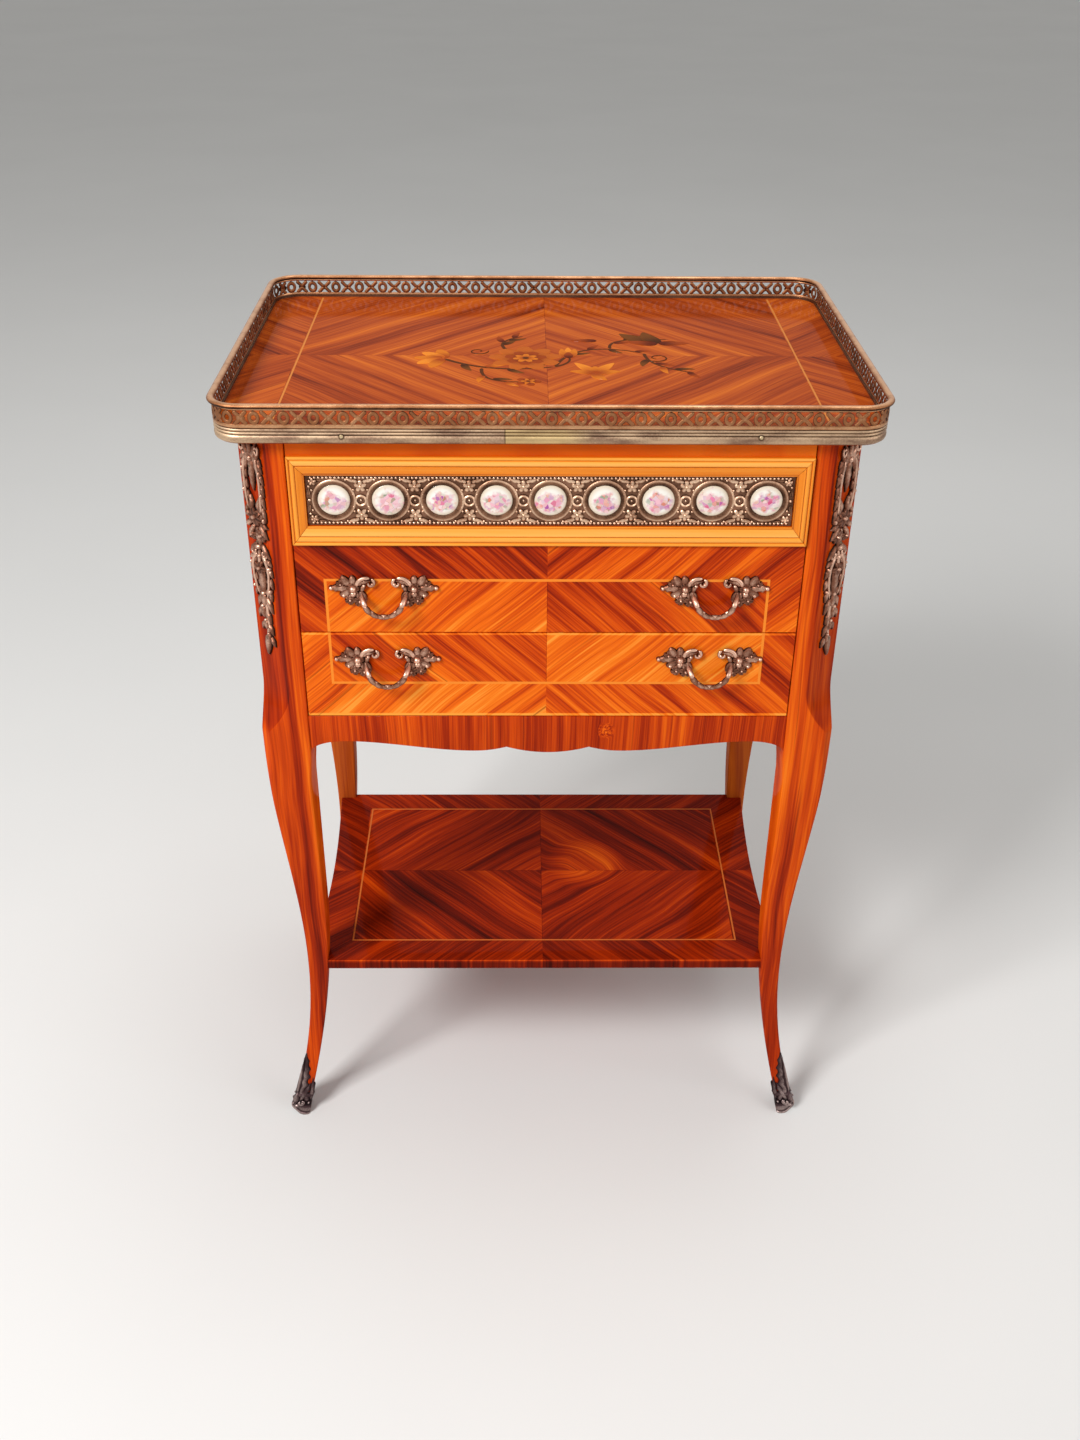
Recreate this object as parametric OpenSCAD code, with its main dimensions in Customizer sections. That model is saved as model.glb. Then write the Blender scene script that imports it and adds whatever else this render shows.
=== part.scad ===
// Three drawer side table in kingwood veneer with bronze mounts, brass gallery and undertier shelf.
// Millimetres. Origin on the floor under the centre of the table, +Z up, drawers open towards -Y.

/* [Case] */
// Width over the corner posts
case_w = 480; // [440:1:560]
// Depth over the corner posts
case_d = 318.5; // [300:0.5:380]
// Distance of the case forward of the top's centre
case_fwd = 4; // [0:0.5:8]
// Height of the posts, floor to underside of the top
case_h = 703.5; // [620:0.5:780]
// Upper edge of the aprons as a share of that height
apron_share = 0.6532; // [0.63:0.0001:0.67]
// Width of a square corner post
post_w = 39; // [35:0.5:44]
// Width of the flat cut off the post's outer corner, along each face
cant_w = 25; // [16:0.5:28]
// Thickness of the side panels
side_panel_t = 12; // [8:0.5:14]
// Set back of the side and back panels from the posts' faces
panel_inset = 2; // [1:0.5:6]
// Thickness of the back panel
back_panel_t = 6; // [4:0.5:10]
// Depth of the grooves and mortises in the posts
tongue = 8; // [4:0.5:10]
// Thickness of the bottom board
bottom_board_t = 6; // [4:0.5:10]

/* [Legs] */
// Depth of the knee, where the leg starts to swing inwards, below the aprons' upper edge
knee_drop = 14.5; // [8:0.5:24]
// Length over which the corner's cant runs out at the knee
cant_run = 38; // [24:1:50]
// Width of the chamfer that is left on the corner at the knee
knee_chamfer = 7; // [4:0.5:10]
// Width of the chamfer lower down
leg_chamfer = 1.5; // [1:0.1:3]
// Length over which the chamfer narrows below the knee
chamfer_run = 80; // [50:1:120]
// How far the knee stands proud of the post
knee_out = 1.5; // [0.5:0.5:4]
// Height of the waist, the leg's innermost point
waist_z = 175; // [140:1:210]
// How far the waist lies inside the post's face
waist_in = 15; // [8:0.5:22]
// How far the toe stands outside the post's face
toe_out = 11; // [5:0.5:16]
// Thickness of the leg at the ankle
ankle_w = 15; // [12:0.5:20]
// Inward step of the leg's inner edge below the apron
inner_step = 2.5; // [0:0.5:5]
// Depth below the knee at which that step begins
step_drop = 20; // [10:1:40]
// Height over which the step is made
step_run = 40; // [20:1:60]
// Height at which the inner edge starts to curve out to the toe
inner_bend_z = 250; // [220:1:300]

/* [Aprons] */
// Thickness of the aprons
apron_t = 18; // [14:0.5:22]
// Least height of the front apron, beside the legs' curves
apron_h = 25; // [18:0.5:30]
// Drop of the front apron's lobes below that least height
lobe_drop = 11; // [6:0.5:14]
// Half width of the centre lobe, out to the cusps
cusp_x = 35; // [25:1:50]
// Depth of the cusps
cusp_h = 5.5; // [3:0.5:8]
// Distance of the side lobes from the centre
side_lobe_x = 62; // [55:1:80]
// Width of the rounded bracket beside each leg
bracket_w = 29; // [15:1:35]

/* [Top] */
// Overhang of the wooden top past the posts at the sides
top_over_x = 10.5; // [6:0.5:25]
// Overhang of the wooden top past the posts at front and back
top_over_y = 14; // [6:0.5:25]
// Thickness of the wooden top
top_t = 12; // [10:0.5:18]
// Radius of the wooden top's corners
top_corner_r = 21; // [15:0.5:30]
// Width of an inlaid stringing line
string_w = 1.6; // [1:0.1:2.5]
// Depth of an inlaid stringing line
string_t = 1; // [0.6:0.1:1.5]
// Distance of the top's stringing lines from the ends of the wood
string_end = 42; // [30:1:70]

/* [Band and gallery] */
// Thickness of the brass edge band
band_t = 2.5; // [2:0.1:3.5]
// Height of the band's lip above the wooden top
band_lip = 2; // [1:0.1:3]
// How far the band stops short of the wooden top's underside
band_short = 0.5; // [0:0.1:2]
// Height of the gallery above the wooden top
gallery_h = 19.5; // [16:0.5:26]
// Thickness of the pierced strip
strip_t = 1.2; // [1:0.1:1.2]
// Distance from one circle of the piercing to the next
strip_pitch = 21.6; // [18:0.1:26]
// Width of the bars left in the piercing
strip_bar = 1.6; // [1.2:0.1:2.2]
// Width of the gallery rail
rail_w = 5.6; // [4:0.1:7]
// Height of the gallery rail
rail_h = 4; // [3:0.1:5]
// Radius of the band nails' heads
nail_r = 1.5; // [1:0.1:2.2]

/* [Drawers] */
// Height of the lower drawer front as a share of the height over all three
lower_share = 0.3217; // [0.29:0.0001:0.34]
// Height of the middle drawer front as a share of the height over all three
middle_share = 0.3115; // [0.29:0.0001:0.34]
// Gap between one drawer front and the next
front_gap = 1; // [0.5:0.1:2]
// Gap between a drawer front and a post
front_side_gap = 1; // [0.6:0.1:2]
// Thickness of the drawer fronts
front_t = 18; // [16:0.5:22]
// Thickness of the drawer sides and backs
box_t = 8; // [6:0.5:10]
// Thickness of the drawer bottoms
drawer_bottom_t = 4; // [3:0.5:6]
// Height of a drawer bottom above the drawer's lower edge
drawer_bottom_up = 5; // [4:0.5:8]
// Thickness of the blades between the drawers
blade_t = 11; // [9:0.5:14]
// Depth of the blades and of the top rails
blade_d = 26; // [18:0.5:34]
// Height of the top rails
top_rail_h = 12.5; // [10:0.5:16]
// Running clearance of a drawer box on its runners and guides
run_gap = 0.3; // [0.2:0.1:0.6]
// Clearance above a drawer box
head_gap = 2; // [1:0.5:4]
// Space behind a drawer box when the drawer is shut
back_gap = 12; // [6:1:30]
// Height of the drawer guides
guide_h = 18; // [10:1:30]
// Travel of a drawer
drawer_travel = 210; // [120:5:230]

/* [Drawer frame and frieze] */
// Width of the upright lengths of the top drawer's moulding frame
frame_w = 12.5; // [10:0.5:15]
// Width of the level lengths of the frame
frame_h = 15.5; // [12:0.5:17]
// How far the frame stands proud of the drawer front
frame_proud = 3; // [2:0.5:4]
// Depth of the recess that holds the frieze
recess_d = 4; // [3:0.5:6]
// Thickness of the frieze strip
frieze_t = 2; // [1.5:0.1:3]
// Gap between the frieze strip and the frame
frieze_gap = 0.6; // [0.2:0.1:1.5]
// Top drawer front above the frame
frame_cap = 12.4; // [8:0.1:16]
// Radius of a porcelain plaque
plaque_r = 12.6; // [10:0.1:14]
// Thickness of a plaque at its rim
plaque_t = 2.2; // [1.5:0.1:3]
// Crown of a plaque's face
plaque_crown = 1.2; // [0.5:0.1:2]

/* [Handles] */
// Distance of the handles from the table's centre line
handle_x = 131.5; // [100:0.5:150]
// Height of the middle drawer's handles above its lower edge
middle_handle_up = 35.5; // [30:0.5:48]
// Height of the lower drawer's handles above its lower edge
lower_handle_up = 50.5; // [34:0.5:58]
// Radius of the grip's curve
grip_r = 15.8; // [13:0.1:18]
// Radius of the grip's bar
grip_bar_r = 2.6; // [2:0.1:3.2]
// Distance of the grip's centre from the drawer front
grip_off = 12; // [10:0.5:15]
// Thickness of the leaf plates
leaf_plate_t = 4; // [3:0.1:5]
// Distance of the rosettes from the handle's centre
rosette_x = 24.5; // [22:0.5:28]
// Radius of a rosette
rosette_r = 4.6; // [3.5:0.1:6]
// Radius of the handle screws
screw_r = 1.5; // [1:0.1:2]

/* [Mounts and sabots] */
// Thickness of the corner mounts
mount_t = 3; // [2:0.1:5]
// Height of the berries and rosettes on the corner mounts
mount_boss = 1.8; // [1:0.1:2.5]
// Length of the corner mounts as a share of the height over all three drawers
mount_share = 0.746; // [0.62:0.001:0.78]
// Distance of a corner mount's top below the posts' top
mount_top = 2.5; // [1:0.5:10]
// Radius of the pins that hold the bronze
pin_r = 0.9; // [0.6:0.1:1.2]
// Radius of the pins' heads
pin_head_r = 1.3; // [1:0.1:1.6]
// Height of the pins' heads
pin_head_h = 0.6; // [0.4:0.1:1]
// Depth of the pins in the wood
pin_deep = 7; // [5:0.5:9]
// Wall of the sabots
sabot_t = 2.6; // [2:0.1:4]
// Height of a sabot's cup
sabot_h = 22; // [16:1:30]
// Height of a sabot's leaf on the outer arris
sabot_leaf_h = 68; // [50:1:90]

/* [Shelf] */
// Height of the shelf's upper face
shelf_z = 177; // [160:1:200]
// Thickness of the shelf
shelf_t = 11; // [8:0.5:16]
// Set back of the shelf's front edge from the front legs' faces
shelf_front_in = 1; // [0.5:0.5:6]
// Set back of the shelf's back edge from the back legs' faces
shelf_back_in = 12; // [6:0.5:14]
// Hollow of the shelf's side edges
shelf_hollow = 6; // [2:0.5:12]
// Distance of the shelf's stringing from its edges
shelf_string_in = 31; // [20:1:45]
// Radius of the dowels between shelf and legs
dowel_r = 3; // [2:0.5:4]
// Length of the dowels
dowel_l = 20; // [14:1:24]

/* [Hidden] */

WOOD = "#b5501c";
DARK_WOOD = "#7c2c12";
PALE_WOOD = "#c9a066";
HONEY = "#dc9a3c";
BRONZE = "#8a7358";
BRASS = "#b09a5a";
PORCELAIN = "#f2ece6";
STRING = "#e8b45c";

$fn = 48;
PROFILE_STEPS = 26;
fit = 0.1;
over = 1;

half_w = case_w / 2;
half_d = case_d / 2;
inner_x = half_w - post_w;
inner_y = half_d - post_w;
post_size = [post_w, post_w];

apron_top_z = case_h * apron_share;
knee_z = apron_top_z - knee_drop;
fronts_h = case_h - apron_top_z;
lower_front_h = fronts_h * lower_share;
middle_front_h = fronts_h * middle_share;

top_half_x = half_w + top_over_x;
top_half_y = half_d + top_over_y;
top_z = case_h + top_t;
gallery_top = top_z + gallery_h;

// Drawers, from the lowest: lower edge and upper edge of each front
lower_z0 = apron_top_z + front_gap;
lower_z1 = lower_z0 + lower_front_h;
middle_z0 = lower_z1 + front_gap;
middle_z1 = middle_z0 + middle_front_h;
upper_z0 = middle_z1 + front_gap;
upper_z1 = case_h - front_gap;
front_half = inner_x - front_side_gap;
front_back_y = -half_d + front_t;
blade_lower_z = lower_z1 + front_gap / 2 - blade_t / 2;
blade_upper_z = middle_z1 + front_gap / 2 - blade_t / 2;
lower_runner_h = blade_t / 2;
// Height of the surface each drawer box runs on, and of what closes the opening above it
lower_run_z = apron_top_z + lower_runner_h;
middle_run_z = blade_lower_z + blade_t;
upper_run_z = blade_upper_z + blade_t;
box_half = inner_x - front_side_gap - run_gap;
panel_in_x = half_w - panel_inset - side_panel_t;
panel_in_y = half_d - panel_inset - back_panel_t;
box_back_y = panel_in_y - back_gap;
blade_front_y = front_back_y + run_gap;
runner_d = blade_t;

// Smooth step from 0 to 1
function ease(t) = let (c = max(0, min(1, t))) c * c * (3 - 2 * c);

// Offset of the leg's outer arris from the post's face at height z
function leg_out(z) =
    z >= knee_z ? knee_out * (1 - ease((z - knee_z) / cant_run))
    : z >= waist_z ? -waist_in + (knee_out + waist_in) * ease((z - waist_z) / (knee_z - waist_z))
    : -waist_in + (toe_out + waist_in) * pow(1 - z / waist_z, 2.2);

// Distance of the leg's inner edge from the post's inner face at height z, outwards
function leg_in(z) =
    inner_step * (1 - ease((z - (knee_z - step_drop - step_run)) / step_run))
    + (z >= inner_bend_z ? 0
       : (post_w + toe_out - ankle_w - inner_step) * pow(1 - z / inner_bend_z, 2.1));

// Flat cut off the arris at height z: the post's cant, running out at the knee to a narrow chamfer
function cant(z) =
    z >= knee_z + cant_run ? cant_w
    : z >= knee_z ? knee_chamfer + (cant_w - knee_chamfer) * (1 - pow(1 - (z - knee_z) / cant_run, 2))
    : leg_chamfer + (knee_chamfer - leg_chamfer) * ease((z - (knee_z - chamfer_run)) / chamfer_run);

// Heights from z0 to z1 at even steps
function steps(z0, z1, n) = [for (i = [0:n]) z0 + (z1 - z0) * i / n];

// Leg outline seen from one side, grown by g all round, between heights z0 and z1
module leg_outline(g, z0, z1) {
    turn_z = knee_z + cant_run;
    low = steps(z0, min(z1, turn_z), PROFILE_STEPS);
    all = z1 > turn_z ? concat(low, [z1]) : low;
    polygon(concat(
        [for (z = all) [half_w + leg_out(z) + g, z]],
        [for (i = [len(all) - 1:-1:0]) [inner_x + leg_in(all[i]) - g, all[i]]]
    ));
}

// Square sectioned leg: the same outline sawn from the front and from the side
module leg_blank(g, z0, z1) {
    intersection() {
        rotate([90, 0, 0]) linear_extrude(2 * case_d, center = true) leg_outline(g, z0, z1);
        translate([0, half_d - half_w, 0]) rotate([90, 0, 90])
            linear_extrude(2 * case_w, center = true) leg_outline(g, z0, z1);
    }
}

// Wedge that takes off the outer arris, in the plane through the leg's diagonal
module arris_cut(g) {
    low = steps(-over, knee_z + cant_run, PROFILE_STEPS);
    reach = 1.5 * post_w;
    function depth(z) = sqrt(2) * (leg_out(max(z, 0)) + g) - cant(z) / sqrt(2);
    translate([half_w, half_d, 0]) rotate([90, 0, 45])
        linear_extrude(3 * post_w, center = true)
            polygon(concat(
                [for (z = low) [depth(z), z]],
                [[depth(case_h), case_h + over], [reach, case_h + over], [reach, -over]]
            ));
}

// Whole leg at the corner with positive x and y
module leg_shape(g, z0, z1) {
    difference() {
        leg_blank(g, z0, z1);
        arris_cut(g);
    }
}

// The case stands a little forward of the top's centre
module case() { translate([0, -case_fwd, 0]) children(); }

module at_corner(side, end) {
    mirror([side < 0 ? 1 : 0, 0, 0]) mirror([0, end < 0 ? 1 : 0, 0]) children();
}

module block(x, y, z) {
    translate([x[0], y[0], z[0]]) cube([x[1] - x[0], y[1] - y[0], z[1] - z[0]]);
}

// A leg with its mortises and grooves; side is -1 left or 1 right, end is -1 front or 1 back
module leg(side, end) {
    color(WOOD) difference() {
        at_corner(side, end) leg_shape(0, sabot_floor, case_h);
        side_panel(side);
        apron_side(side);
        if (end < 0) {
            apron_front();
            top_rail(-1);
            blade(blade_upper_z);
            blade(blade_lower_z);
        } else {
            apron_back();
            top_rail(1);
            back_panel();
        }
        shelf_dowel_set(fit);
        if (end < 0) mount_pin_set(fit);
    }
}
sabot_floor = 2;

module side_panel(side) {
    x0 = panel_in_x;
    color(WOOD) mirror([side < 0 ? 1 : 0, 0, 0])
        block([x0, x0 + side_panel_t], [-inner_y - tongue, inner_y + tongue], [apron_top_z, case_h]);
}

module back_panel() {
    color(DARK_WOOD)
        block([-inner_x - tongue, inner_x + tongue], [panel_in_y, panel_in_y + back_panel_t], [apron_top_z, case_h]);
}

// Lower edge of the front apron at distance x from the centre
function apron_edge(x, half) =
    let (flat = apron_top_z - apron_h, low = flat - lobe_drop)
    x <= cusp_x ? low + cusp_h * pow(x / cusp_x, 2)
    : x <= side_lobe_x ? low + 1.5 + (cusp_h - 1.5) * pow((side_lobe_x - x) / (side_lobe_x - cusp_x), 2)
    : x <= half - bracket_w ? low + 1.5 + (lobe_drop - 1.5) * ease((x - side_lobe_x) / (half - bracket_w - side_lobe_x))
    : flat - lobe_drop * (1 - sqrt(1 - pow((x - half + bracket_w) / bracket_w, 2)));

// Lower edge of a plain apron: level, with rounded brackets at the legs
function plain_edge(x, half) =
    let (flat = apron_top_z - apron_h)
    x <= half - bracket_w ? flat - 3 * (1 - ease(x / (half - bracket_w)))
    : flat - lobe_drop * (1 - sqrt(1 - pow((x - half + bracket_w) / bracket_w, 2)));

// Positions along half an apron, closer together where its edge turns
function apron_stops(half) = concat(
    steps(0, cusp_x, 6),
    [for (i = [1:5]) cusp_x + (side_lobe_x - cusp_x) * i / 5],
    [for (i = [1:9]) side_lobe_x + (half - bracket_w - side_lobe_x) * i / 9],
    [for (i = [1:8]) half - bracket_w + bracket_w * sin(90 * i / 8)]
);

function plain_stops(half) = concat(
    steps(0, half - bracket_w, 6),
    [for (i = [1:8]) half - bracket_w + bracket_w * sin(90 * i / 8)]
);

module apron_outline(half, shaped) {
    stops = shaped ? apron_stops(half) : plain_stops(half);
    edge = [for (x = stops) [x, shaped ? apron_edge(x, half) : plain_edge(x, half)]];
    polygon(concat(
        [for (i = [len(edge) - 1:-1:1]) [-edge[i][0], edge[i][1]]],
        edge,
        [[half, apron_top_z], [-half, apron_top_z]]
    ));
}

// Apron with a tenon at each end, standing at distance face from the middle, tenon_z up from its lower edge
module apron_board(half, face, shaped) {
    rotate([90, 0, 0]) translate([0, 0, face - apron_t]) linear_extrude(apron_t) apron_outline(half, shaped);
    tenon_in = apron_t / 3;
    block([-half - tongue, half + tongue], [-face + tenon_in, -face + apron_t - tenon_in],
          [apron_top_z - apron_h + 3, apron_top_z - 3]);
}

module apron_front() { color(WOOD) apron_board(inner_x, half_d, true); }

module apron_back() { color(WOOD) rotate([0, 0, 180]) apron_board(inner_x, half_d - panel_inset, false); }

module apron_side(side) {
    color(WOOD) rotate([0, 0, side < 0 ? -90 : 90]) apron_board(inner_y, half_w - panel_inset, false);
}

// Rail under the top, front (-1) or back (1), with tenons into the posts
module top_rail(end) {
    y0 = end < 0 ? blade_front_y : panel_in_y - blade_d;
    color(PALE_WOOD) difference() {
        union() {
            block([-inner_x, inner_x], [y0, y0 + blade_d], [case_h - top_rail_h, case_h]);
            tenon_block(end < 0 ? y0 + 3 : max(y0 + 3, inner_y + 3), end < 0 ? -inner_y - 3 : y0 + blade_d - 3,
                        case_h - top_rail_h + 3, case_h - 3);
        }
        top_screw_set(fit, end);
    }
}

module tenon_block(y0, y1, z0, z1) {
    block([-inner_x - tongue, inner_x + tongue], [y0, y1], [z0, z1]);
}

// Blade between two drawers, behind the fronts
module blade(z0) {
    color(PALE_WOOD) {
        block([-inner_x, inner_x], [blade_front_y, blade_front_y + blade_d], [z0, z0 + blade_t]);
        tenon_block(blade_front_y + 3, -inner_y - 3, z0 + 2, z0 + blade_t - 2);
    }
}

runner_back_y = panel_in_y;
runner_x0 = box_half - box_t - 6;

// Runners: bars under the drawer sides, between the blades and the back panel
module drawer_runners() {
    y0 = blade_front_y + blade_d;
    color(PALE_WOOD) for (side = [-1, 1]) mirror([side < 0 ? 1 : 0, 0, 0]) {
        for (z = [middle_run_z, upper_run_z]) difference() {
            block([runner_x0, panel_in_x], [y0, runner_back_y], [z - runner_d, z]);
            block([inner_x, half_w], [inner_y, half_d], [z - runner_d - over, z + over]);
        }
        difference() {
            block([runner_x0, panel_in_x], [front_back_y + run_gap, runner_back_y], [apron_top_z, lower_run_z]);
            for (end = [-1, 1]) mirror([0, end < 0 ? 1 : 0, 0])
                block([inner_x, half_w], [inner_y, half_d], [apron_top_z - over, lower_run_z + over]);
        }
    }
}

// Guides: bars beside the drawer sides, level with the posts' inner faces
module drawer_guides() {
    color(PALE_WOOD) for (side = [-1, 1]) mirror([side < 0 ? 1 : 0, 0, 0])
        for (z = [lower_run_z, middle_run_z, upper_run_z])
            block([box_half + run_gap, panel_in_x], [-inner_y, inner_y], [z, z + guide_h]);
}

module bottom_board() {
    apron_in_y = half_d - apron_t;
    apron_in_x = half_w - panel_inset - apron_t;
    back_in_y = half_d - panel_inset - apron_t;
    color(PALE_WOOD) difference() {
        block([-apron_in_x, apron_in_x], [-apron_in_y, back_in_y], [apron_top_z - bottom_board_t, apron_top_z]);
        for (side = [-1, 1], end = [-1, 1]) mirror([side < 0 ? 1 : 0, 0, 0]) mirror([0, end < 0 ? 1 : 0, 0])
            block([inner_x, half_w], [inner_y, half_d], [apron_top_z - bottom_board_t - over, apron_top_z + over]);
    }
}

// Rounded rectangle, grown by g from the wooden top's outline
module top_outline(g) {
    r = top_corner_r + g;
    cx = top_half_x - top_corner_r;
    cy = top_half_y - top_corner_r;
    union() {
        square([2 * cx, 2 * (cy + r)], center = true);
        square([2 * (cx + r), 2 * cy], center = true);
        for (x = [-cx, cx], y = [-cy, cy]) translate([x, y]) circle(r);
    }
}

module top_panel() {
    color(WOOD) difference() {
        translate([0, 0, case_h]) linear_extrude(top_t) top_outline(0);
        top_stringing();
        case() top_screw_set(fit, -1);
        case() top_screw_set(fit, 1);
        band_nail_set(fit);
    }
}

module top_stringing() {
    string_y = top_half_y - 4;
    color(STRING) for (side = [-1, 1])
        translate([side * (top_half_x - string_end) - string_w / 2, -string_y, top_z - string_t])
            cube([string_w, 2 * string_y, string_t]);
}

// A profile carried round the top: ring between two outlines, or a moulding made of straight and corner runs
module round_top(profile_shift = 0) {
    cx = top_half_x - top_corner_r;
    cy = top_half_y - top_corner_r;
    for (end = [-1, 1]) rotate([0, 0, end < 0 ? 0 : 180])
        translate([0, -top_half_y, 0]) rotate([90, 0, 90])
            linear_extrude(2 * cx, center = true) mirror([1, 0]) children();
    for (side = [-1, 1]) rotate([0, 0, side < 0 ? 180 : 0])
        translate([top_half_x, 0, 0]) rotate([90, 0, 0])
            linear_extrude(2 * cy, center = true) children();
    for (x = [-1, 1], y = [-1, 1]) mirror([x < 0 ? 1 : 0, 0, 0]) mirror([0, y < 0 ? 1 : 0, 0])
        translate([cx, cy, 0]) rotate_extrude(angle = 90) translate([top_corner_r, 0]) children();
}

band_bottom = case_h + band_short;
band_top = top_z + band_lip;
shoulder_z = top_z + 0.5;

// Section of the edge band: x is outwards from the wood, y is height; a round lower edge, then two reeds
module band_section() {
    b = band_bottom;
    unit = (shoulder_z - band_bottom) / 12;
    dip = band_t - 0.5;
    lip_t = band_t - strip_t;
    polygon([
        [0, b], [band_t * 0.45, b], [band_t * 0.85, b + unit * 1.2], [band_t, b + unit * 3],
        [band_t, b + unit * 6], [dip, b + unit * 6.5], [band_t, b + unit * 7], [band_t, b + unit * 8.6],
        [dip, b + unit * 9], [band_t, b + unit * 9.4], [band_t, b + unit * 11], [dip + 0.2, shoulder_z],
        [lip_t, shoulder_z], [lip_t, band_top], [0, band_top]
    ]);
}

module edge_band() {
    color(BRASS) difference() {
        round_top() band_section();
        band_nail_set(fit);
    }
}

strip_x0 = band_t - strip_t;
rail_mid = band_t + 0.2;
strip_top = gallery_top - rail_h + 1;

module strip_wall() {
    polygon([[strip_x0, shoulder_z], [band_t, shoulder_z], [band_t, strip_top], [strip_x0, strip_top]]);
}

// One repeat of the piercing, centred on a ring, with half a cross at each end: the openings only
module piercing(pitch) {
    low = shoulder_z + 3;
    high = gallery_top - rail_h - 1;
    mid = (low + high) / 2;
    r = (high - low) / 2 + 0.2;
    translate([0, mid]) circle(r - strip_bar, $fn = 24);
    difference() {
        translate([-pitch / 2, low]) square([pitch, high - low]);
        translate([0, mid]) circle(r, $fn = 24);
        for (s = [-1, 1], t = [-1, 1]) translate([s * pitch / 2, mid]) mirror([s < 0 ? 1 : 0, 0]) mirror([0, t < 0 ? 1 : 0])
            polygon([[over, strip_bar * 0.7], [over, -strip_bar], [-r, r + over - strip_bar * 0.4],
                     [-r + strip_bar * 1.2, r + over + strip_bar * 0.5]]);
    }
}

// Piercings along a straight run of length l, as cutters through the strip
module piercing_run(l) {
    n = round(l / strip_pitch);
    pitch = l / n;
    rotate([90, 0, 0]) linear_extrude(4 * band_t, center = true)
        for (i = [0:n - 1]) translate([(i + 0.5) * pitch - l / 2, 0]) piercing(pitch);
}

module gallery_strip() {
    cx = top_half_x - top_corner_r;
    cy = top_half_y - top_corner_r;
    color(BRONZE) difference() {
        round_top() strip_wall();
        for (end = [-1, 1]) translate([0, end * (top_half_y + band_t), 0]) piercing_run(2 * cx);
        for (side = [-1, 1]) translate([side * (top_half_x + band_t), 0, 0]) rotate([0, 0, 90]) piercing_run(2 * cy);
        for (x = [-1, 1], y = [-1, 1]) mirror([x < 0 ? 1 : 0, 0, 0]) mirror([0, y < 0 ? 1 : 0, 0])
            translate([cx, cy, 0]) corner_piercings();
    }
}

// Round holes through the strip's quarter turn
module corner_piercings() {
    low = shoulder_z + 3;
    high = gallery_top - rail_h - 1;
    r = (high - low) / 2 - 1.4;
    for (a = [22.5, 67.5]) rotate([0, 0, a]) translate([top_corner_r, 0, (low + high) / 2])
        rotate([0, 90, 0]) cylinder(h = 4 * band_t, r = r, center = true);
}

// Section of the gallery rail: a flattened bead with a slot that sits over the strip
module rail_section() {
    r = rail_h / 2;
    mid_z = gallery_top - r;
    half = rail_w / 2 - r;
    difference() {
        union() {
            translate([rail_mid - half, mid_z]) circle(r, $fn = 24);
            translate([rail_mid + half, mid_z]) circle(r, $fn = 24);
            translate([rail_mid - half, mid_z - r]) square([2 * half, rail_h]);
        }
        translate([strip_x0, mid_z - rail_h]) square([strip_t, strip_top - mid_z + rail_h]);
    }
}

module gallery_rail() { color(BRONZE) round_top() rail_section(); }

// Nails through the band into the wood, front and back in the same places
module band_nail_set(g) {
    nail_x = top_half_x * 0.62;
    nail_l = band_t + pin_deep;
    z = (band_bottom + shoulder_z) / 2;
    for (end = [-1, 1], x = [-nail_x, nail_x]) translate([x, end * (top_half_y + band_t), z])
        rotate([end < 0 ? -90 : 90, 0, 0]) pin(nail_l, nail_r, g);
    for (side = [-1, 1], y = [-top_half_y / 2, top_half_y / 2])
        translate([side * (top_half_x + band_t), y, z]) rotate([0, side < 0 ? 90 : -90, 0]) pin(nail_l, nail_r, g);
}

// A round headed pin: the shank runs along +Z from the head's seat at the origin, grown by g
module pin(l, head_r, g) {
    translate([0, 0, -pin_head_h]) cylinder(h = pin_head_h, r1 = head_r * 0.7 + g, r2 = head_r + g);
    cylinder(h = l + g, r = pin_r + g);
}

module band_nails() { color(BRASS) band_nail_set(0); }

// Screws up through a top rail into the wooden top; end is -1 front or 1 back
module top_screw_set(g, end) {
    y = end < 0 ? blade_front_y + blade_d / 2 : panel_in_y - blade_d / 2;
    head_r = 3.2;
    shank_r = 1.8;
    head_h = 3;
    l = top_rail_h + top_t * 0.65;
    for (x = [-inner_x * 0.7, 0, inner_x * 0.7]) translate([x, y, case_h - top_rail_h]) {
        cylinder(h = head_h, r = head_r + g);
        cylinder(h = l + g, r = shank_r + g);
    }
}

module top_screws() { color(BRASS) { top_screw_set(0, -1); top_screw_set(0, 1); } }

// Pointed leaf of length l and width w, from the origin along +y
module leaf(l, w) {
    r = (l * l + w * w) / (4 * w);
    translate([0, l / 2]) intersection() {
        translate([r - w / 2, 0]) circle(r, $fn = 60);
        translate([w / 2 - r, 0]) circle(r, $fn = 60);
    }
}

// Open scroll: a ring with a bite taken out
module scroll(r, bar, open_at) {
    difference() {
        circle(r, $fn = 32);
        circle(r - bar, $fn = 32);
        rotate(open_at) translate([r, 0]) square([r, bar * 1.2], center = true);
    }
}

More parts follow.
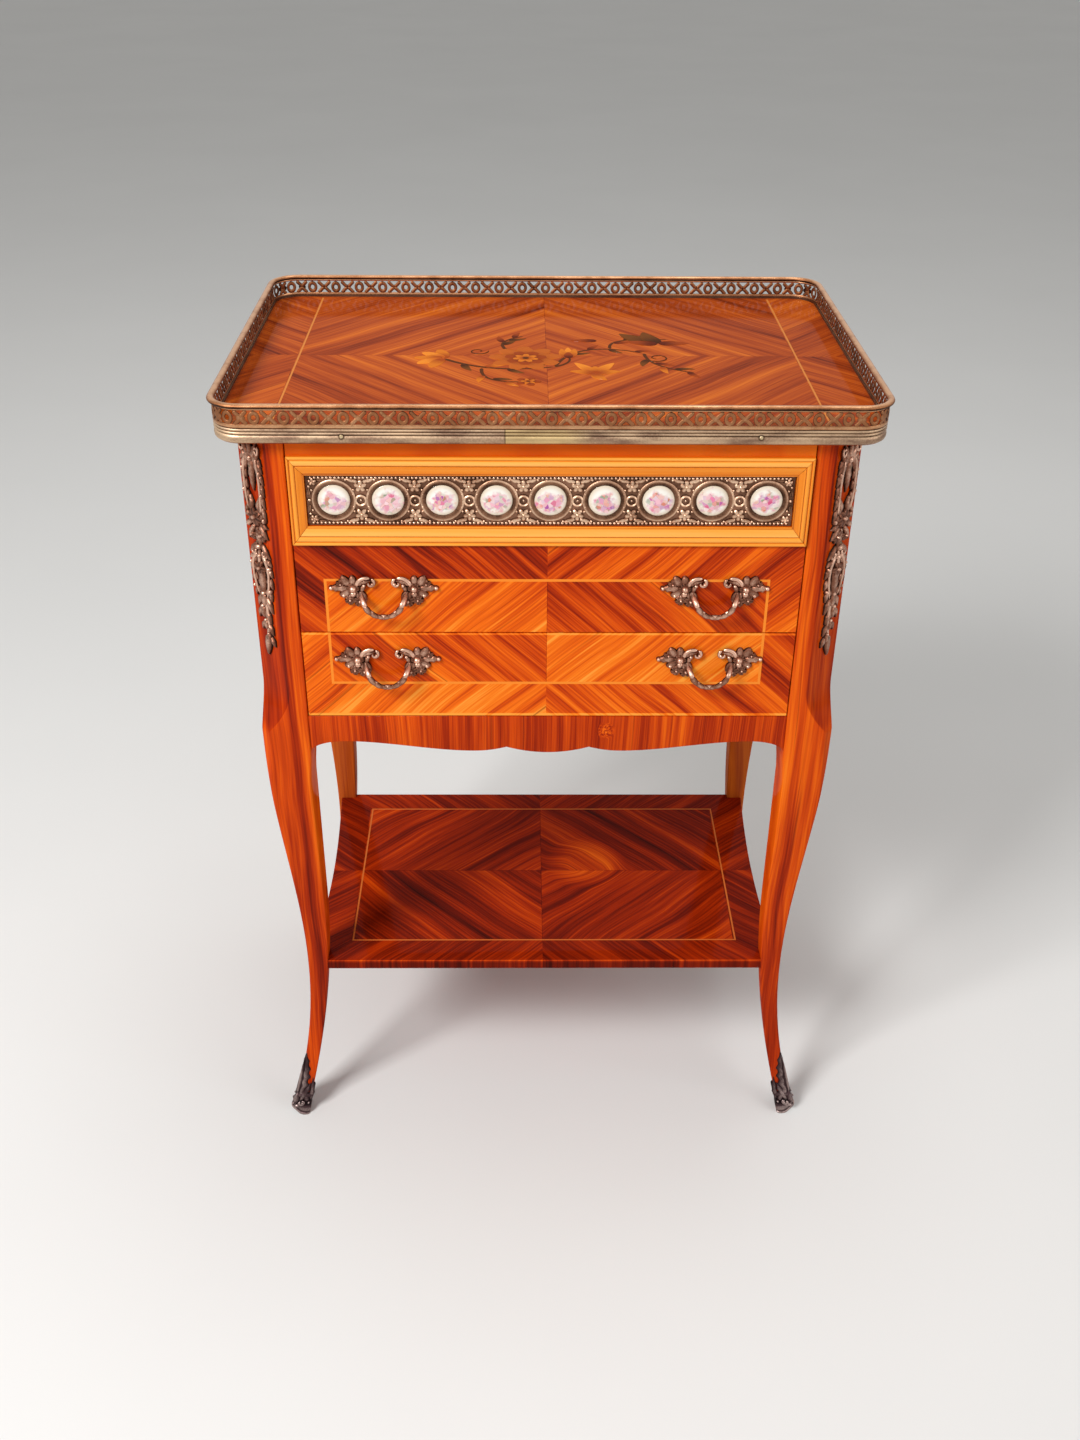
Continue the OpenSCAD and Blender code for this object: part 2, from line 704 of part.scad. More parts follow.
// Face of a corner mount drawn 182 long: u across the canted face, v down from its top
module mount_face() {
    // crest of five leaves, and a drop below it
    for (a = [-64, -33, 0, 33, 64]) translate([0, -15]) rotate(a) leaf(15, 7);
    translate([0, -13]) rotate(180) leaf(28, 7.5);
    // two strands that spread from the crest and meet at the knot
    for (s = [-1, 1]) {
        polygon([[s * 2, -12], [s * 9.5, -26], [s * 11, -48], [s * 7, -68], [0, -91],
                 [0, -86], [s * 4.6, -67], [s * 8.2, -48], [s * 6.8, -27], [0, -15]]);
        translate([s * 8.5, -24]) rotate(s * -118) leaf(10, 5);
        translate([s * 9.6, -38]) rotate(s * -150) leaf(11, 5);
        translate([s * 9.4, -52]) rotate(s * 172) leaf(14, 6);
        translate([s * 5, -70]) rotate(s * -100) leaf(10, 5);
    }
    // knot flower
    translate([0, -91]) for (a = [0:60:300]) rotate(a) translate([0, 4]) circle(3.2, $fn = 20);
    // hanging garland: leaves in pairs that get shorter, on a stem
    translate([-1.3, -166]) square([2.6, 75]);
    for (i = [0:5]) for (s = [-1, 1])
        translate([0, -101 - i * 11.4 + s * 2]) rotate(180 + s * 38) leaf(17 - i * 1.4, 6.4 - i * 0.4);
    translate([0, -162]) rotate(180) leaf(20, 6);
}

// Raised berries on the mount
module mount_relief() {
    translate([0, -91]) circle(3.4, $fn = 24);
    translate([0, -14]) circle(3, $fn = 24);
    for (i = [0:3]) translate([0, -107 - i * 17]) circle(2.4 - i * 0.25, $fn = 20);
    for (s = [-1, 1]) translate([s * 8.6, -47]) circle(2, $fn = 20);
}

// Places a flat shape on the canted face of the front post at positive x
module on_cant() {
    mid = half_w - cant_w / 2;
    mid_y = half_d - cant_w / 2;
    translate([mid, -mid_y, case_h - mount_top]) rotate([0, 0, 45]) rotate([90, 0, 0]) children();
}

module corner_mount(side) {
    color(BRONZE) mirror([side < 0 ? 1 : 0, 0, 0]) difference() {
        on_cant() scale(mount_k) {
            linear_extrude(mount_t / mount_k) mount_face();
            linear_extrude((mount_t + mount_boss) / mount_k) mount_relief();
        }
        mount_pin_one(fit);
    }
}

mount_k = fronts_h * mount_share / 182;

// Pins of one corner mount
module mount_pin_one(g) {
    for (v = [-23, -86, -172])
        on_cant() translate([0, v * mount_k, mount_t]) rotate([180, 0, 0]) pin(mount_t + pin_deep, pin_head_r, g);
}

module mount_pin_set(g) {
    for (side = [-1, 1]) mirror([side < 0 ? 1 : 0, 0, 0]) mount_pin_one(g);
}

module mount_pins() { color(BRASS) mount_pin_set(0); }

// Cast shoe on a toe: a cup, and a leaf that climbs the outer arris
module sabot(side, end) {
    color(BRONZE) at_corner(side, end) difference() {
        union() {
            leg_shape(sabot_t, 0, sabot_h);
            intersection() {
                leg_shape(sabot_t, 0, sabot_leaf_h);
                translate([half_w, half_d, 0]) rotate([90, 0, 135])
                    linear_extrude(4 * post_w, center = true) sabot_leaf();
            }
        }
        leg_shape(0, sabot_floor, case_h);
    }
}

// Leaf seen along the leg's diagonal
module sabot_leaf() {
    wide = 12;
    polygon([[-wide, sabot_h - 4], [-wide * 0.8, sabot_h + 8], [-wide * 0.5, sabot_h + 20], [-2.5, sabot_leaf_h - 8],
             [0, sabot_leaf_h], [2.5, sabot_leaf_h - 8], [wide * 0.5, sabot_h + 20], [wide * 0.8, sabot_h + 8],
             [wide, sabot_h - 4]]);
}

// Shelf between the legs
shelf_front_y = -(half_d + leg_out(shelf_z)) + shelf_front_in;
shelf_back_y = half_d + leg_out(shelf_z) - shelf_back_in;
shelf_half = half_w + leg_out(shelf_z) - 3;
shelf_leg_in = inner_x + leg_in(shelf_z - shelf_t / 2);

module shelf_outline() {
    n = 10;
    run = [for (i = [0:n]) let (t = i / n)
        [shelf_half - shelf_hollow * sin(180 * t), shelf_front_y + (shelf_back_y - shelf_front_y) * t]];
    polygon(concat(run, [for (i = [n:-1:0]) [-run[i][0], run[i][1]]]));
}

module shelf_panel() {
    color(DARK_WOOD) difference() {
        translate([0, 0, shelf_z - shelf_t]) linear_extrude(shelf_t) shelf_outline();
        for (side = [-1, 1], end = [-1, 1]) at_corner(side, end)
            leg_blank(0, sabot_floor, case_h);
        shelf_stringing();
        shelf_dowel_set(fit);
    }
}

module shelf_stringing() {
    x = shelf_half - shelf_hollow - shelf_string_in;
    y0 = shelf_front_y + shelf_string_in - 2;
    y1 = shelf_back_y - shelf_string_in + 2;
    color(STRING) translate([0, 0, shelf_z - string_t]) linear_extrude(string_t) difference() {
        translate([-x - string_w / 2, y0 - string_w / 2]) square([2 * x + string_w, y1 - y0 + string_w]);
        translate([-x + string_w / 2, y0 + string_w / 2]) square([2 * x - string_w, y1 - y0 - string_w]);
    }
}

// Dowels along x from the shelf into each leg
module shelf_dowel_set(g) {
    z = shelf_z - shelf_t / 2;
    leg_mid_front = half_d + leg_out(z) - 9;
    for (side = [-1, 1]) mirror([side < 0 ? 1 : 0, 0, 0])
        for (y = [-leg_mid_front, leg_mid_front - 4])
            translate([shelf_leg_in, y, z]) rotate([0, 90, 0])
                cylinder(h = dowel_l + 2 * g, r = dowel_r + g, center = true);
}

module shelf_dowels() { color(PALE_WOOD) shelf_dowel_set(0); }

// One drawer box, given the run height z, the height of what is above, and the front's edges
tail_n = 3;

// Outline of the dovetails on an end of a drawer side of height h: they reach l past y
function tails(y, l, h) =
    let (pitch = h / tail_n)
    [for (i = [0:tail_n - 1]) let (z = (i + 0.5) * pitch)
        each [[y, z - pitch * 0.28], [y + l, z - pitch * 0.38], [y + l, z + pitch * 0.38], [y, z + pitch * 0.28]]];

tail_l = 10;

// Side of a drawer box at positive x; z0 and z1 are its lower and upper edges
module drawer_side(z0, z1) {
    h = z1 - z0;
    y0 = front_back_y;
    y1 = box_back_y - box_t;
    ahead = tails(y0, -tail_l, h);
    translate([box_half - box_t, 0, z0]) rotate([90, 0, 90]) linear_extrude(box_t)
        polygon(concat([[y0, 0], [y1, 0]], tails(y1, box_t, h), [[y1, h], [y0, h]],
                       [for (i = [len(ahead) - 1:-1:0]) ahead[i]]));
}

groove_d = 3;

module drawer_bottom(z0) {
    color(PALE_WOOD)
        block([-box_half + box_t - groove_d, box_half - box_t + groove_d],
              [front_back_y - groove_d, box_back_y],
              [z0 + drawer_bottom_up, z0 + drawer_bottom_up + drawer_bottom_t]);
}

module drawer_side_part(side, z0, z1) {
    color(PALE_WOOD) difference() {
        mirror([side < 0 ? 1 : 0, 0, 0]) drawer_side(z0, z1);
        drawer_bottom(z0);
    }
}

module drawer_back(z0, z1) {
    color(PALE_WOOD) difference() {
        block([-box_half, box_half], [box_back_y - box_t, box_back_y],
              [z0 + drawer_bottom_up + drawer_bottom_t, z1]);
        for (side = [-1, 1]) mirror([side < 0 ? 1 : 0, 0, 0]) drawer_side(z0, z1);
    }
}

module drawer_front(z0, z1, fz0, fz1) {
    difference() {
        block([-front_half, front_half], [-half_d, front_back_y], [fz0, fz1]);
        for (side = [-1, 1]) mirror([side < 0 ? 1 : 0, 0, 0]) drawer_side(z0, z1);
        drawer_bottom(z0);
    }
}

function box_low(run) = run + run_gap;

lower_box = [box_low(lower_run_z), blade_lower_z - head_gap];
middle_box = [box_low(middle_run_z), blade_upper_z - head_gap];
upper_box = [box_low(upper_run_z), case_h - top_rail_h - head_gap];

frame_z0 = upper_z0;
frame_z1 = upper_z1 - frame_cap;
recess_x = front_half - frame_w;
recess_z = [frame_z0 + frame_h, frame_z1 - frame_h];

module top_drawer_front() {
    color(WOOD) difference() {
        drawer_front(upper_box[0], upper_box[1], upper_z0, upper_z1);
        block([-recess_x, recess_x], [-half_d - over, -half_d + recess_d], recess_z);
        frieze_pin_set(fit);
    }
}

// Section of the frame, w wide: x from the outer edge inwards, y out of the drawer front
module frame_section(w) {
    p = frame_proud;
    polygon([[0, 0], [0, p * 0.7], [w * 0.06, p * 0.85], [w * 0.14, p * 0.9], [w * 0.16, p * 0.72],
             [w * 0.22, p * 0.72], [w * 0.28, p * 0.92], [w * 0.36, p], [w * 0.46, p], [w * 0.5, p * 0.84],
             [w * 0.92, p * 0.22], [w, p * 0.22], [w, 0]]);
}

// One mitred length of the frame, w wide, along x from -l/2 to l/2 with its outer edge on the x axis;
// end is the width of the lengths that it meets
module frame_length(l, w, end) {
    intersection() {
        rotate([90, 0, 90]) linear_extrude(l, center = true) frame_section(w);
        linear_extrude(2 * frame_proud)
            polygon([[-l / 2, 0], [l / 2, 0], [l / 2 - end, w], [-l / 2 + end, w]]);
    }
}

module frame_moulding() {
    h = frame_z1 - frame_z0;
    color(HONEY) translate([0, -half_d, (frame_z0 + frame_z1) / 2]) rotate([90, 0, 0]) {
        translate([0, -h / 2, 0]) frame_length(2 * front_half, frame_h, frame_w);
        translate([0, h / 2, 0]) rotate([0, 0, 180]) frame_length(2 * front_half, frame_h, frame_w);
        translate([front_half, 0, 0]) rotate([0, 0, 90]) frame_length(h, frame_w, frame_h);
        translate([-front_half, 0, 0]) rotate([0, 0, -90]) frame_length(h, frame_w, frame_h);
    }
}

plaque_n = 9;
frieze_half = recess_x - frieze_gap;
frieze_pitch = 2 * frieze_half / plaque_n;
frieze_z = (recess_z[0] + recess_z[1]) / 2;
frieze_h = recess_z[1] - recess_z[0] - 2 * frieze_gap;
function plaque_x(i) = (i - (plaque_n - 1) / 2) * frieze_pitch;

module on_recess() {
    translate([0, -half_d + recess_d, frieze_z]) rotate([90, 0, 0]) children();
}

// Small openings between two plaques
module frieze_openings() {
    r = 1.5;
    for (s = [-1, 1]) {
        translate([0, s * 11]) circle(r, $fn = 20);
        translate([3.4, s * 14.6]) circle(r * 0.8, $fn = 20);
        translate([-3.4, s * 14.6]) circle(r * 0.8, $fn = 20);
    }
}

module frieze_strip() {
    color(BRONZE) difference() {
        on_recess() linear_extrude(frieze_t) difference() {
            square([2 * frieze_half, frieze_h], center = true);
            for (i = [0:plaque_n - 1]) translate([plaque_x(i), 0]) circle(plaque_r + fit);
            for (i = [0:plaque_n - 2]) translate([plaque_x(i) + frieze_pitch / 2, 0]) frieze_openings();
        }
        frieze_pin_set(fit);
    }
}

// Domed plaques set in the strip's round seats
module plaques() {
    dome_r = (plaque_r * plaque_r + plaque_crown * plaque_crown) / (2 * plaque_crown);
    color(PORCELAIN) for (i = [0:plaque_n - 1]) on_recess() translate([plaque_x(i), 0, 0])
        intersection() {
            cylinder(h = plaque_t + plaque_crown + over, r = plaque_r);
            translate([0, 0, plaque_t + plaque_crown - dome_r]) sphere(r = dome_r, $fn = 96);
        }
}

module frieze_pin_set(g) {
    for (i = [0:plaque_n]) {
        last = i == 0 || i == plaque_n;
        x = i == 0 ? -frieze_half + 2 * pin_head_r : i == plaque_n ? frieze_half - 2 * pin_head_r : plaque_x(i) - frieze_pitch / 2;
        on_recess() translate([x, last ? frieze_h * 0.36 : 0, frieze_t]) rotate([180, 0, 0])
            pin(frieze_t + pin_deep, pin_head_r, g);
    }
}

module frieze_pins() { color(BRASS) frieze_pin_set(0); }

// Leaf plate of a handle end, with its rosette at the origin; the grip lies towards +x
module handle_leaves() {
    for (a = [[62, 15, 6.5], [96, 18.5, 7], [128, 13, 6]]) rotate(a[0]) leaf(a[1], a[2]);
    for (a = [[12, 14.5, 6], [-32, 17, 6.5], [-74, 12, 6], [152, 12.5, 6], [196, 11, 6]]) rotate(a[0]) leaf(a[1], a[2]);
    circle(6.2, $fn = 32);
}

// A cast pull: two leafy ends and a curved grip that stands clear of the drawer front
module handle_shape() {
    for (s = [-1, 1]) mirror([s > 0 ? 1 : 0, 0, 0]) translate([-rosette_x, 0, 0]) {
        linear_extrude(leaf_plate_t) handle_leaves();
        difference() {
            translate([0, 0, leaf_plate_t - 0.5]) sphere(r = rosette_r, $fn = 32);
            translate([0, 0, -rosette_r]) cube(2 * rosette_r, center = true);
        }
    }
    translate([0, 0, grip_off]) rotate([0, 0, 180]) rotate_extrude(angle = 180) translate([grip_r, 0]) circle(grip_bar_r, $fn = 24);
    for (s = [-1, 1]) {
        translate([s * grip_r, 0, grip_off]) sphere(r = grip_bar_r * 1.15, $fn = 32);
        translate([s * grip_r, 0, 0.5]) cylinder(h = grip_off - 0.5, r = grip_bar_r * 0.9);
    }
}

module at_handle(side, z) {
    translate([side * handle_x, -half_d, z]) rotate([90, 0, 0]) children();
}

module handle(side, z) {
    color(BRONZE) difference() {
        at_handle(side, z) handle_shape();
        handle_screw_set(z, fit);
    }
}

// Screws from inside the drawer into the handles' ends
module handle_screw_set(z, g) {
    head_h = 1.6;
    l = front_t + leaf_plate_t;
    for (side = [-1, 1], s = [-1, 1])
        translate([side * handle_x + s * rosette_x, front_back_y, z]) rotate([90, 0, 0]) {
            translate([0, 0, -head_h]) cylinder(h = head_h + g, r = 2 * screw_r + g);
            cylinder(h = l + g, r = screw_r + g);
        }
}

middle_handle_z = middle_z0 + middle_handle_up;
lower_handle_z = lower_z0 + lower_handle_up;

module plain_drawer_front(zbox, z0, z1, handle_z) {
    color(WOOD) difference() {
        drawer_front(zbox[0], zbox[1], z0, z1);
        handle_screw_set(handle_z, fit);
    }
}

case() leg(-1, -1);  // leg_front_left
case() leg(1, -1);  // leg_front_right
case() leg(-1, 1);  // leg_back_left
case() leg(1, 1);  // leg_back_right
case() side_panel(-1);  // side_panel_left
case() side_panel(1);  // side_panel_right
case() back_panel();
case() apron_front();
case() apron_back();
case() apron_side(-1);  // apron_left
case() apron_side(1);  // apron_right
case() top_rail(-1);  // top_rail_front
case() top_rail(1);  // top_rail_back
case() blade(blade_upper_z);  // blade_upper
case() blade(blade_lower_z);  // blade_lower
case() drawer_runners();
case() drawer_guides();
case() bottom_board();
top_panel();
top_stringing();
edge_band();
gallery_strip();
gallery_rail();
band_nails();
case() top_screws();
case() corner_mount(-1);  // corner_mount_left
case() corner_mount(1);  // corner_mount_right
case() mount_pins();
case() sabot(-1, -1);  // sabot_front_left
case() sabot(1, -1);  // sabot_front_right
case() sabot(-1, 1);  // sabot_back_left
case() sabot(1, 1);  // sabot_back_right
case() shelf_panel();
case() shelf_stringing();
case() shelf_dowels();
case() top_drawer_front();
case() drawer_side_part(-1, upper_box[0], upper_box[1]);  // top_drawer_side_left
case() drawer_side_part(1, upper_box[0], upper_box[1]);  // top_drawer_side_right
case() drawer_back(upper_box[0], upper_box[1]);  // top_drawer_back
case() drawer_bottom(upper_box[0]);  // top_drawer_bottom
case() frame_moulding();
case() frieze_strip();
case() plaques();
case() frieze_pins();
case() plain_drawer_front(middle_box, middle_z0, middle_z1, middle_handle_z);  // middle_drawer_front
case() drawer_side_part(-1, middle_box[0], middle_box[1]);  // middle_drawer_side_left
case() drawer_side_part(1, middle_box[0], middle_box[1]);  // middle_drawer_side_right
case() drawer_back(middle_box[0], middle_box[1]);  // middle_drawer_back
case() drawer_bottom(middle_box[0]);  // middle_drawer_bottom
case() handle(-1, middle_handle_z);  // middle_handle_left
case() handle(1, middle_handle_z);  // middle_handle_right
case() color(BRASS) handle_screw_set(middle_handle_z, 0);  // middle_handle_screws
case() plain_drawer_front(lower_box, lower_z0, lower_z1, lower_handle_z);  // lower_drawer_front
case() drawer_side_part(-1, lower_box[0], lower_box[1]);  // lower_drawer_side_left
case() drawer_side_part(1, lower_box[0], lower_box[1]);  // lower_drawer_side_right
case() drawer_back(lower_box[0], lower_box[1]);  // lower_drawer_back
case() drawer_bottom(lower_box[0]);  // lower_drawer_bottom
case() handle(-1, lower_handle_z);  // lower_handle_left
case() handle(1, lower_handle_z);  // lower_handle_right
case() color(BRASS) handle_screw_set(lower_handle_z, 0);  // lower_handle_screws
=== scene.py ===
"""Looks of a small side table with three drawers.

Kingwood veneer in matched quarters, a honey coloured moulding frame with porcelain plaques, cast bronze
pulls, corner mounts and foot sabots, a pierced gallery on a reeded brass band, and a low shelf. Everything is
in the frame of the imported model. Sizes below are millimetres, and MM turns them into metres.
"""
from __future__ import annotations

import logging
import math
from dataclasses import dataclass, field
from enum import Enum
from typing import Callable, Mapping, Optional, Sequence, Union

import bpy
import numpy as np
from mathutils import Matrix, Vector

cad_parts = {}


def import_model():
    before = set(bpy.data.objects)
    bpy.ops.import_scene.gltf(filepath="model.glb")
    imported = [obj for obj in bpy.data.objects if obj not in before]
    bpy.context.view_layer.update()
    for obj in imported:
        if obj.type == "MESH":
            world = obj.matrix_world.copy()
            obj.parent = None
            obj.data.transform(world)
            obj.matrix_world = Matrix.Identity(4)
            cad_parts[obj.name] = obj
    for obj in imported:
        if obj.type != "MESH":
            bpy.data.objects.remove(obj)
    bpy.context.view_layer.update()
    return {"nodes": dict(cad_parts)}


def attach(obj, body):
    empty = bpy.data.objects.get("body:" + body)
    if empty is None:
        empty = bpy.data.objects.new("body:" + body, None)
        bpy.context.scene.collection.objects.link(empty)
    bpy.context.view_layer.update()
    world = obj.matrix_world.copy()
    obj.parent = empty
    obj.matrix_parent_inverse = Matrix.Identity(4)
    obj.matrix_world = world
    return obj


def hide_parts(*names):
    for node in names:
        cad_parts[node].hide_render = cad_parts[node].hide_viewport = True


LOG = logging.getLogger("side_table")
MM = 0.001
# Edges between faces that meet at a greater angle, in degrees, stay sharp
SHARP_ANGLE = 38.0
# Rings along a leaf for its number of lobes
LEAF_ROWS = {0: 9, 2: 12, 3: 14, 4: 18, 6: 34}
# Signs of x and y at the four corners, anticlockwise
CORNERS = np.array([[1, 1], [-1, 1], [-1, -1], [1, -1]])
# Directions of u, v and w for a plate on the front of the case
FRONT_PLATE = ((1, 0, 0), (0, 0, 1), (0, -1, 0))
Array = np.ndarray
Colour = tuple[float, float, float]
Stops = Sequence[tuple[float, Colour]]
Numbers = Sequence[float]
Material = bpy.types.Material
Nodes = Mapping[str, bpy.types.Object]


class Body(Enum):
    """The four bodies of the table that move as one."""

    CARCASS = "carcass"
    TOP_DRAWER = "top_drawer"
    MIDDLE_DRAWER = "middle_drawer"
    LOWER_DRAWER = "lower_drawer"


class Slot(Enum):
    """The record's material slots, one of which is passed with each modelled piece."""

    VENEER = "veneered_wood"
    DARK_WOOD = "dark_wood"
    HONEY = "honey_wood"
    INLAY = "inlay_wood"
    BRONZE = "antique_bronze"
    BRASS = "brass"
    PORCELAIN = "porcelain"


class Side(Enum):
    """Left or right, with the sign of x on that side."""

    LEFT = -1
    RIGHT = 1


class End(Enum):
    """Front or back, with the sign of y at that end."""

    FRONT = -1
    BACK = 1


def corner_name(side: Side, end: End) -> str:
    """Name of a corner of the case, such as front_left."""
    return f"{end.name.lower()}_{side.name.lower()}"


# Shader kit


def _operator(operation: str, swapped: bool = False) -> Callable[[Wire, Operand], Wire]:
    """Makes a method of Wire that adds one Math node.

    Args:
        operation: the node's operation.
        swapped: whether its operands are swapped, for a reflected operator.

    Returns:
        The method.
    """

    def apply(self: Wire, other: Operand) -> Wire:
        """Adds the node."""
        return self.maths(operation, *((other, self) if swapped else (self, other)))

    return apply


class Wire:
    """A value in a material: a node's output whose operators add Math nodes."""

    def __init__(self, shader: Shader, socket: bpy.types.NodeSocket) -> None:
        """Wraps one output socket."""
        self.shader = shader
        self.socket = socket

    def maths(self, operation: str, *operands: Operand, clamp: bool = False) -> Wire:
        """Adds one Math node with those inputs; clamp holds its result between 0 and 1."""
        settings = {"operation": operation, "use_clamp": clamp}
        return self.shader.node("Math", settings, dict(enumerate(operands)))

    __add__ = _operator("ADD")
    __radd__ = _operator("ADD", swapped=True)
    __sub__ = _operator("SUBTRACT")
    __rsub__ = _operator("SUBTRACT", swapped=True)
    __mul__ = _operator("MULTIPLY")
    __rmul__ = _operator("MULTIPLY", swapped=True)
    __truediv__ = _operator("DIVIDE")
    # The greater and the smaller of the two
    largest = _operator("MAXIMUM")
    least = _operator("MINIMUM")
    # 1 where this is greater or less than the other, else 0
    above = _operator("GREATER_THAN")
    below = _operator("LESS_THAN")

    def __abs__(self) -> Wire:
        """Absolute value."""
        return self.maths("ABSOLUTE", self)

    def clamped(self) -> Wire:
        """This held between 0 and 1."""
        return self.maths("ADD", self, 0.0, clamp=True)

    def rounded_down(self) -> Wire:
        """The whole number below."""
        return self.maths("FLOOR", self)

    def root(self) -> Wire:
        """Square root."""
        return self.maths("SQRT", self)

    def step(self, low: float, high: float) -> Wire:
        """Smooth step.

        Args:
            low: where it is 0.
            high: where it is 1, above or below low.

        Returns:
            The step.
        """
        settings = {"interpolation_type": "SMOOTHSTEP"}
        if low < high:
            return self.shader.node("MapRange", settings, {0: self, 1: low, 2: high})
        return 1.0 - self.shader.node("MapRange", settings, {0: self, 1: high, 2: low})


Operand = Union[Wire, float]


class Shader:
    """A procedural material with one Principled surface, or the world's shading."""

    def __init__(self, name: str, world: bool = False) -> None:
        """Makes an empty material or world.

        Args:
            name: its name.
            world: whether it is a world.
        """
        self.block = (bpy.data.worlds if world else bpy.data.materials).new(name)
        self.block.use_nodes = True
        self.tree = self.block.node_tree
        self.tree.nodes.clear()

    def node(
        self,
        kind: str,
        settings: Optional[Mapping[str, object]] = None,
        inputs: Optional[Mapping[Union[int, str], object]] = None,
        output: Union[int, str] = 0,
    ) -> Wire:
        """Adds any node.

        Args:
            kind: the node's type, without the ShaderNode that all begin with.
            settings: attributes set first; stops is a list of (place, colour) for a ramp.
            inputs: values or wires by socket number or name.
            output: which output is returned.

        Returns:
            That output.
        """
        made = self.tree.nodes.new("ShaderNode" + kind)
        for name, value in (settings or {}).items():
            if name == "stops":
                self._set_stops(made.color_ramp, value)
            else:
                setattr(made, name, value)
        for key, value in (inputs or {}).items():
            if isinstance(value, Wire):
                self.tree.links.new(value.socket, made.inputs[key])
            else:
                made.inputs[key].default_value = value
        return Wire(self, made.outputs[output])

    @staticmethod
    def _set_stops(ramp: bpy.types.ColorRamp, stops: Stops) -> None:
        """Gives a colour ramp its stops.

        Args:
            ramp: the ramp.
            stops: place and colour of each.
        """
        while len(ramp.elements) > 1:
            ramp.elements.remove(ramp.elements[-1])
        for index, (place, colour) in enumerate(stops):
            element = ramp.elements[0] if index == 0 else ramp.elements.new(place)
            element.position = place
            element.color = (*colour, 1.0)

    def place(self) -> Wire:
        """The point on the piece, in metres in the table's frame."""
        return self.node("TexCoord", output="Object")

    def attribute(self, name: str, vector: bool = False) -> Wire:
        """A value that the mesh carries at each point."""
        settings = {"attribute_name": name, "attribute_type": "GEOMETRY"}
        return self.node("Attribute", settings, output="Vector" if vector else "Fac")

    def split(self, vector: Wire) -> tuple[Wire, Wire, Wire]:
        """The three parts of a vector."""
        parts = self.node("SeparateXYZ", inputs={0: vector}).socket.node
        return tuple(Wire(self, parts.outputs[i]) for i in range(3))

    def joined(self, x: Operand, y: Operand, z: Operand) -> Wire:
        """A vector from three values."""
        return self.node("CombineXYZ", inputs={0: x, 1: y, 2: z})

    def noise(self, vector: Wire, scale: float, detail: float, output: Union[int, str] = 0) -> Wire:
        """Soft noise about 0.5."""
        inputs = {"Vector": vector, "Scale": scale, "Detail": detail, "Roughness": 0.55}
        return self.node("TexNoise", {"noise_dimensions": "3D"}, inputs, output)

    def ramp(self, value: Operand, stops: Stops) -> Wire:
        """Colour from a value."""
        return self.node("ValToRGB", {"stops": stops}, {0: value})

    def mix(self, factor: Operand, first: object, second: object) -> Wire:
        """The first colour or wire where the factor is 0, the second where it is 1."""
        sides = [c if isinstance(c, Wire) else (*c, 1.0) for c in (first, second)]
        return self.node("Mix", {"data_type": "RGBA"}, {0: factor, 6: sides[0], 7: sides[1]}, 2)

    def distance(self, *offsets: Wire) -> Wire:
        """Root of the sum of the squares."""
        squares = [offset * offset for offset in offsets]
        return sum(squares[1:], squares[0]).root()

    def surface(
        self,
        colour: Wire,
        roughness: Operand,
        bump: Optional[Wire] = None,
        bump_height: float = 0.0001,
        **fixed: object,
    ) -> Material:
        """Closes the material with its Principled shader.

        Args:
            colour: base colour.
            roughness: a value or a wire.
            bump: height of the surface's fine relief, from 0 to 1.
            bump_height: what that height of 1 is, in metres.
            fixed: other sockets by name, with underscores for spaces.

        Returns:
            The material.
        """
        inputs = {name.replace("_", " "): value for name, value in fixed.items()}
        inputs.update({"Base Color": colour, "Roughness": roughness})
        if bump is not None:
            inputs["Normal"] = self.node("Bump", inputs={"Distance": bump_height, "Height": bump})
        return self.closed(self.node("BsdfPrincipled", inputs=inputs), "OutputMaterial")

    def closed(self, shaded: Wire, kind: str) -> bpy.types.ID:
        """Joins a shader to an output of that kind, and returns the material or world."""
        self.tree.links.new(shaded.socket, self.tree.nodes.new("ShaderNode" + kind).inputs[0])
        return self.block


# Finishes

KINGWOOD = (
    (0.0, (0.05, 0.004, 0.002)),
    (0.2, (0.16, 0.009, 0.002)),
    (0.38, (0.36, 0.024, 0.002)),
    (0.55, (0.6, 0.062, 0.003)),
    (0.72, (0.8, 0.13, 0.005)),
    (0.86, (0.88, 0.2, 0.012)),
    (1.0, (0.92, 0.32, 0.04)),
)
FADED_KINGWOOD = (
    (0.0, (0.06, 0.008, 0.003)),
    (0.2, (0.17, 0.022, 0.005)),
    (0.38, (0.34, 0.05, 0.008)),
    (0.55, (0.48, 0.088, 0.011)),
    (0.72, (0.62, 0.14, 0.014)),
    (0.86, (0.72, 0.2, 0.02)),
    (1.0, (0.8, 0.32, 0.05)),
)
PLUM = (0.1, 0.006, 0.003)
STRINGING = (0.85, 0.24, 0.025)
INLAY_COLOURS = {
    "stem": ((0.1, 0.026, 0.005), (0.05, 0.013, 0.003)),
    "leaf": ((0.17, 0.05, 0.007), (0.06, 0.015, 0.003)),
    "gold": ((0.64, 0.17, 0.012), (0.34, 0.05, 0.005)),
    "cream": ((0.78, 0.24, 0.022), (0.48, 0.09, 0.007)),
    "blush": ((0.5, 0.11, 0.012), (0.17, 0.022, 0.004)),
    "rose": ((0.32, 0.05, 0.006), (0.1, 0.012, 0.003)),
}


class Run(Enum):
    """Direction of the grain on a piece that isn't quartered, as the order of its coordinates."""

    ALONG_X = (0, 1, 2)
    ALONG_Y = (1, 0, 2)
    ALONG_Z = (2, 0, 1)


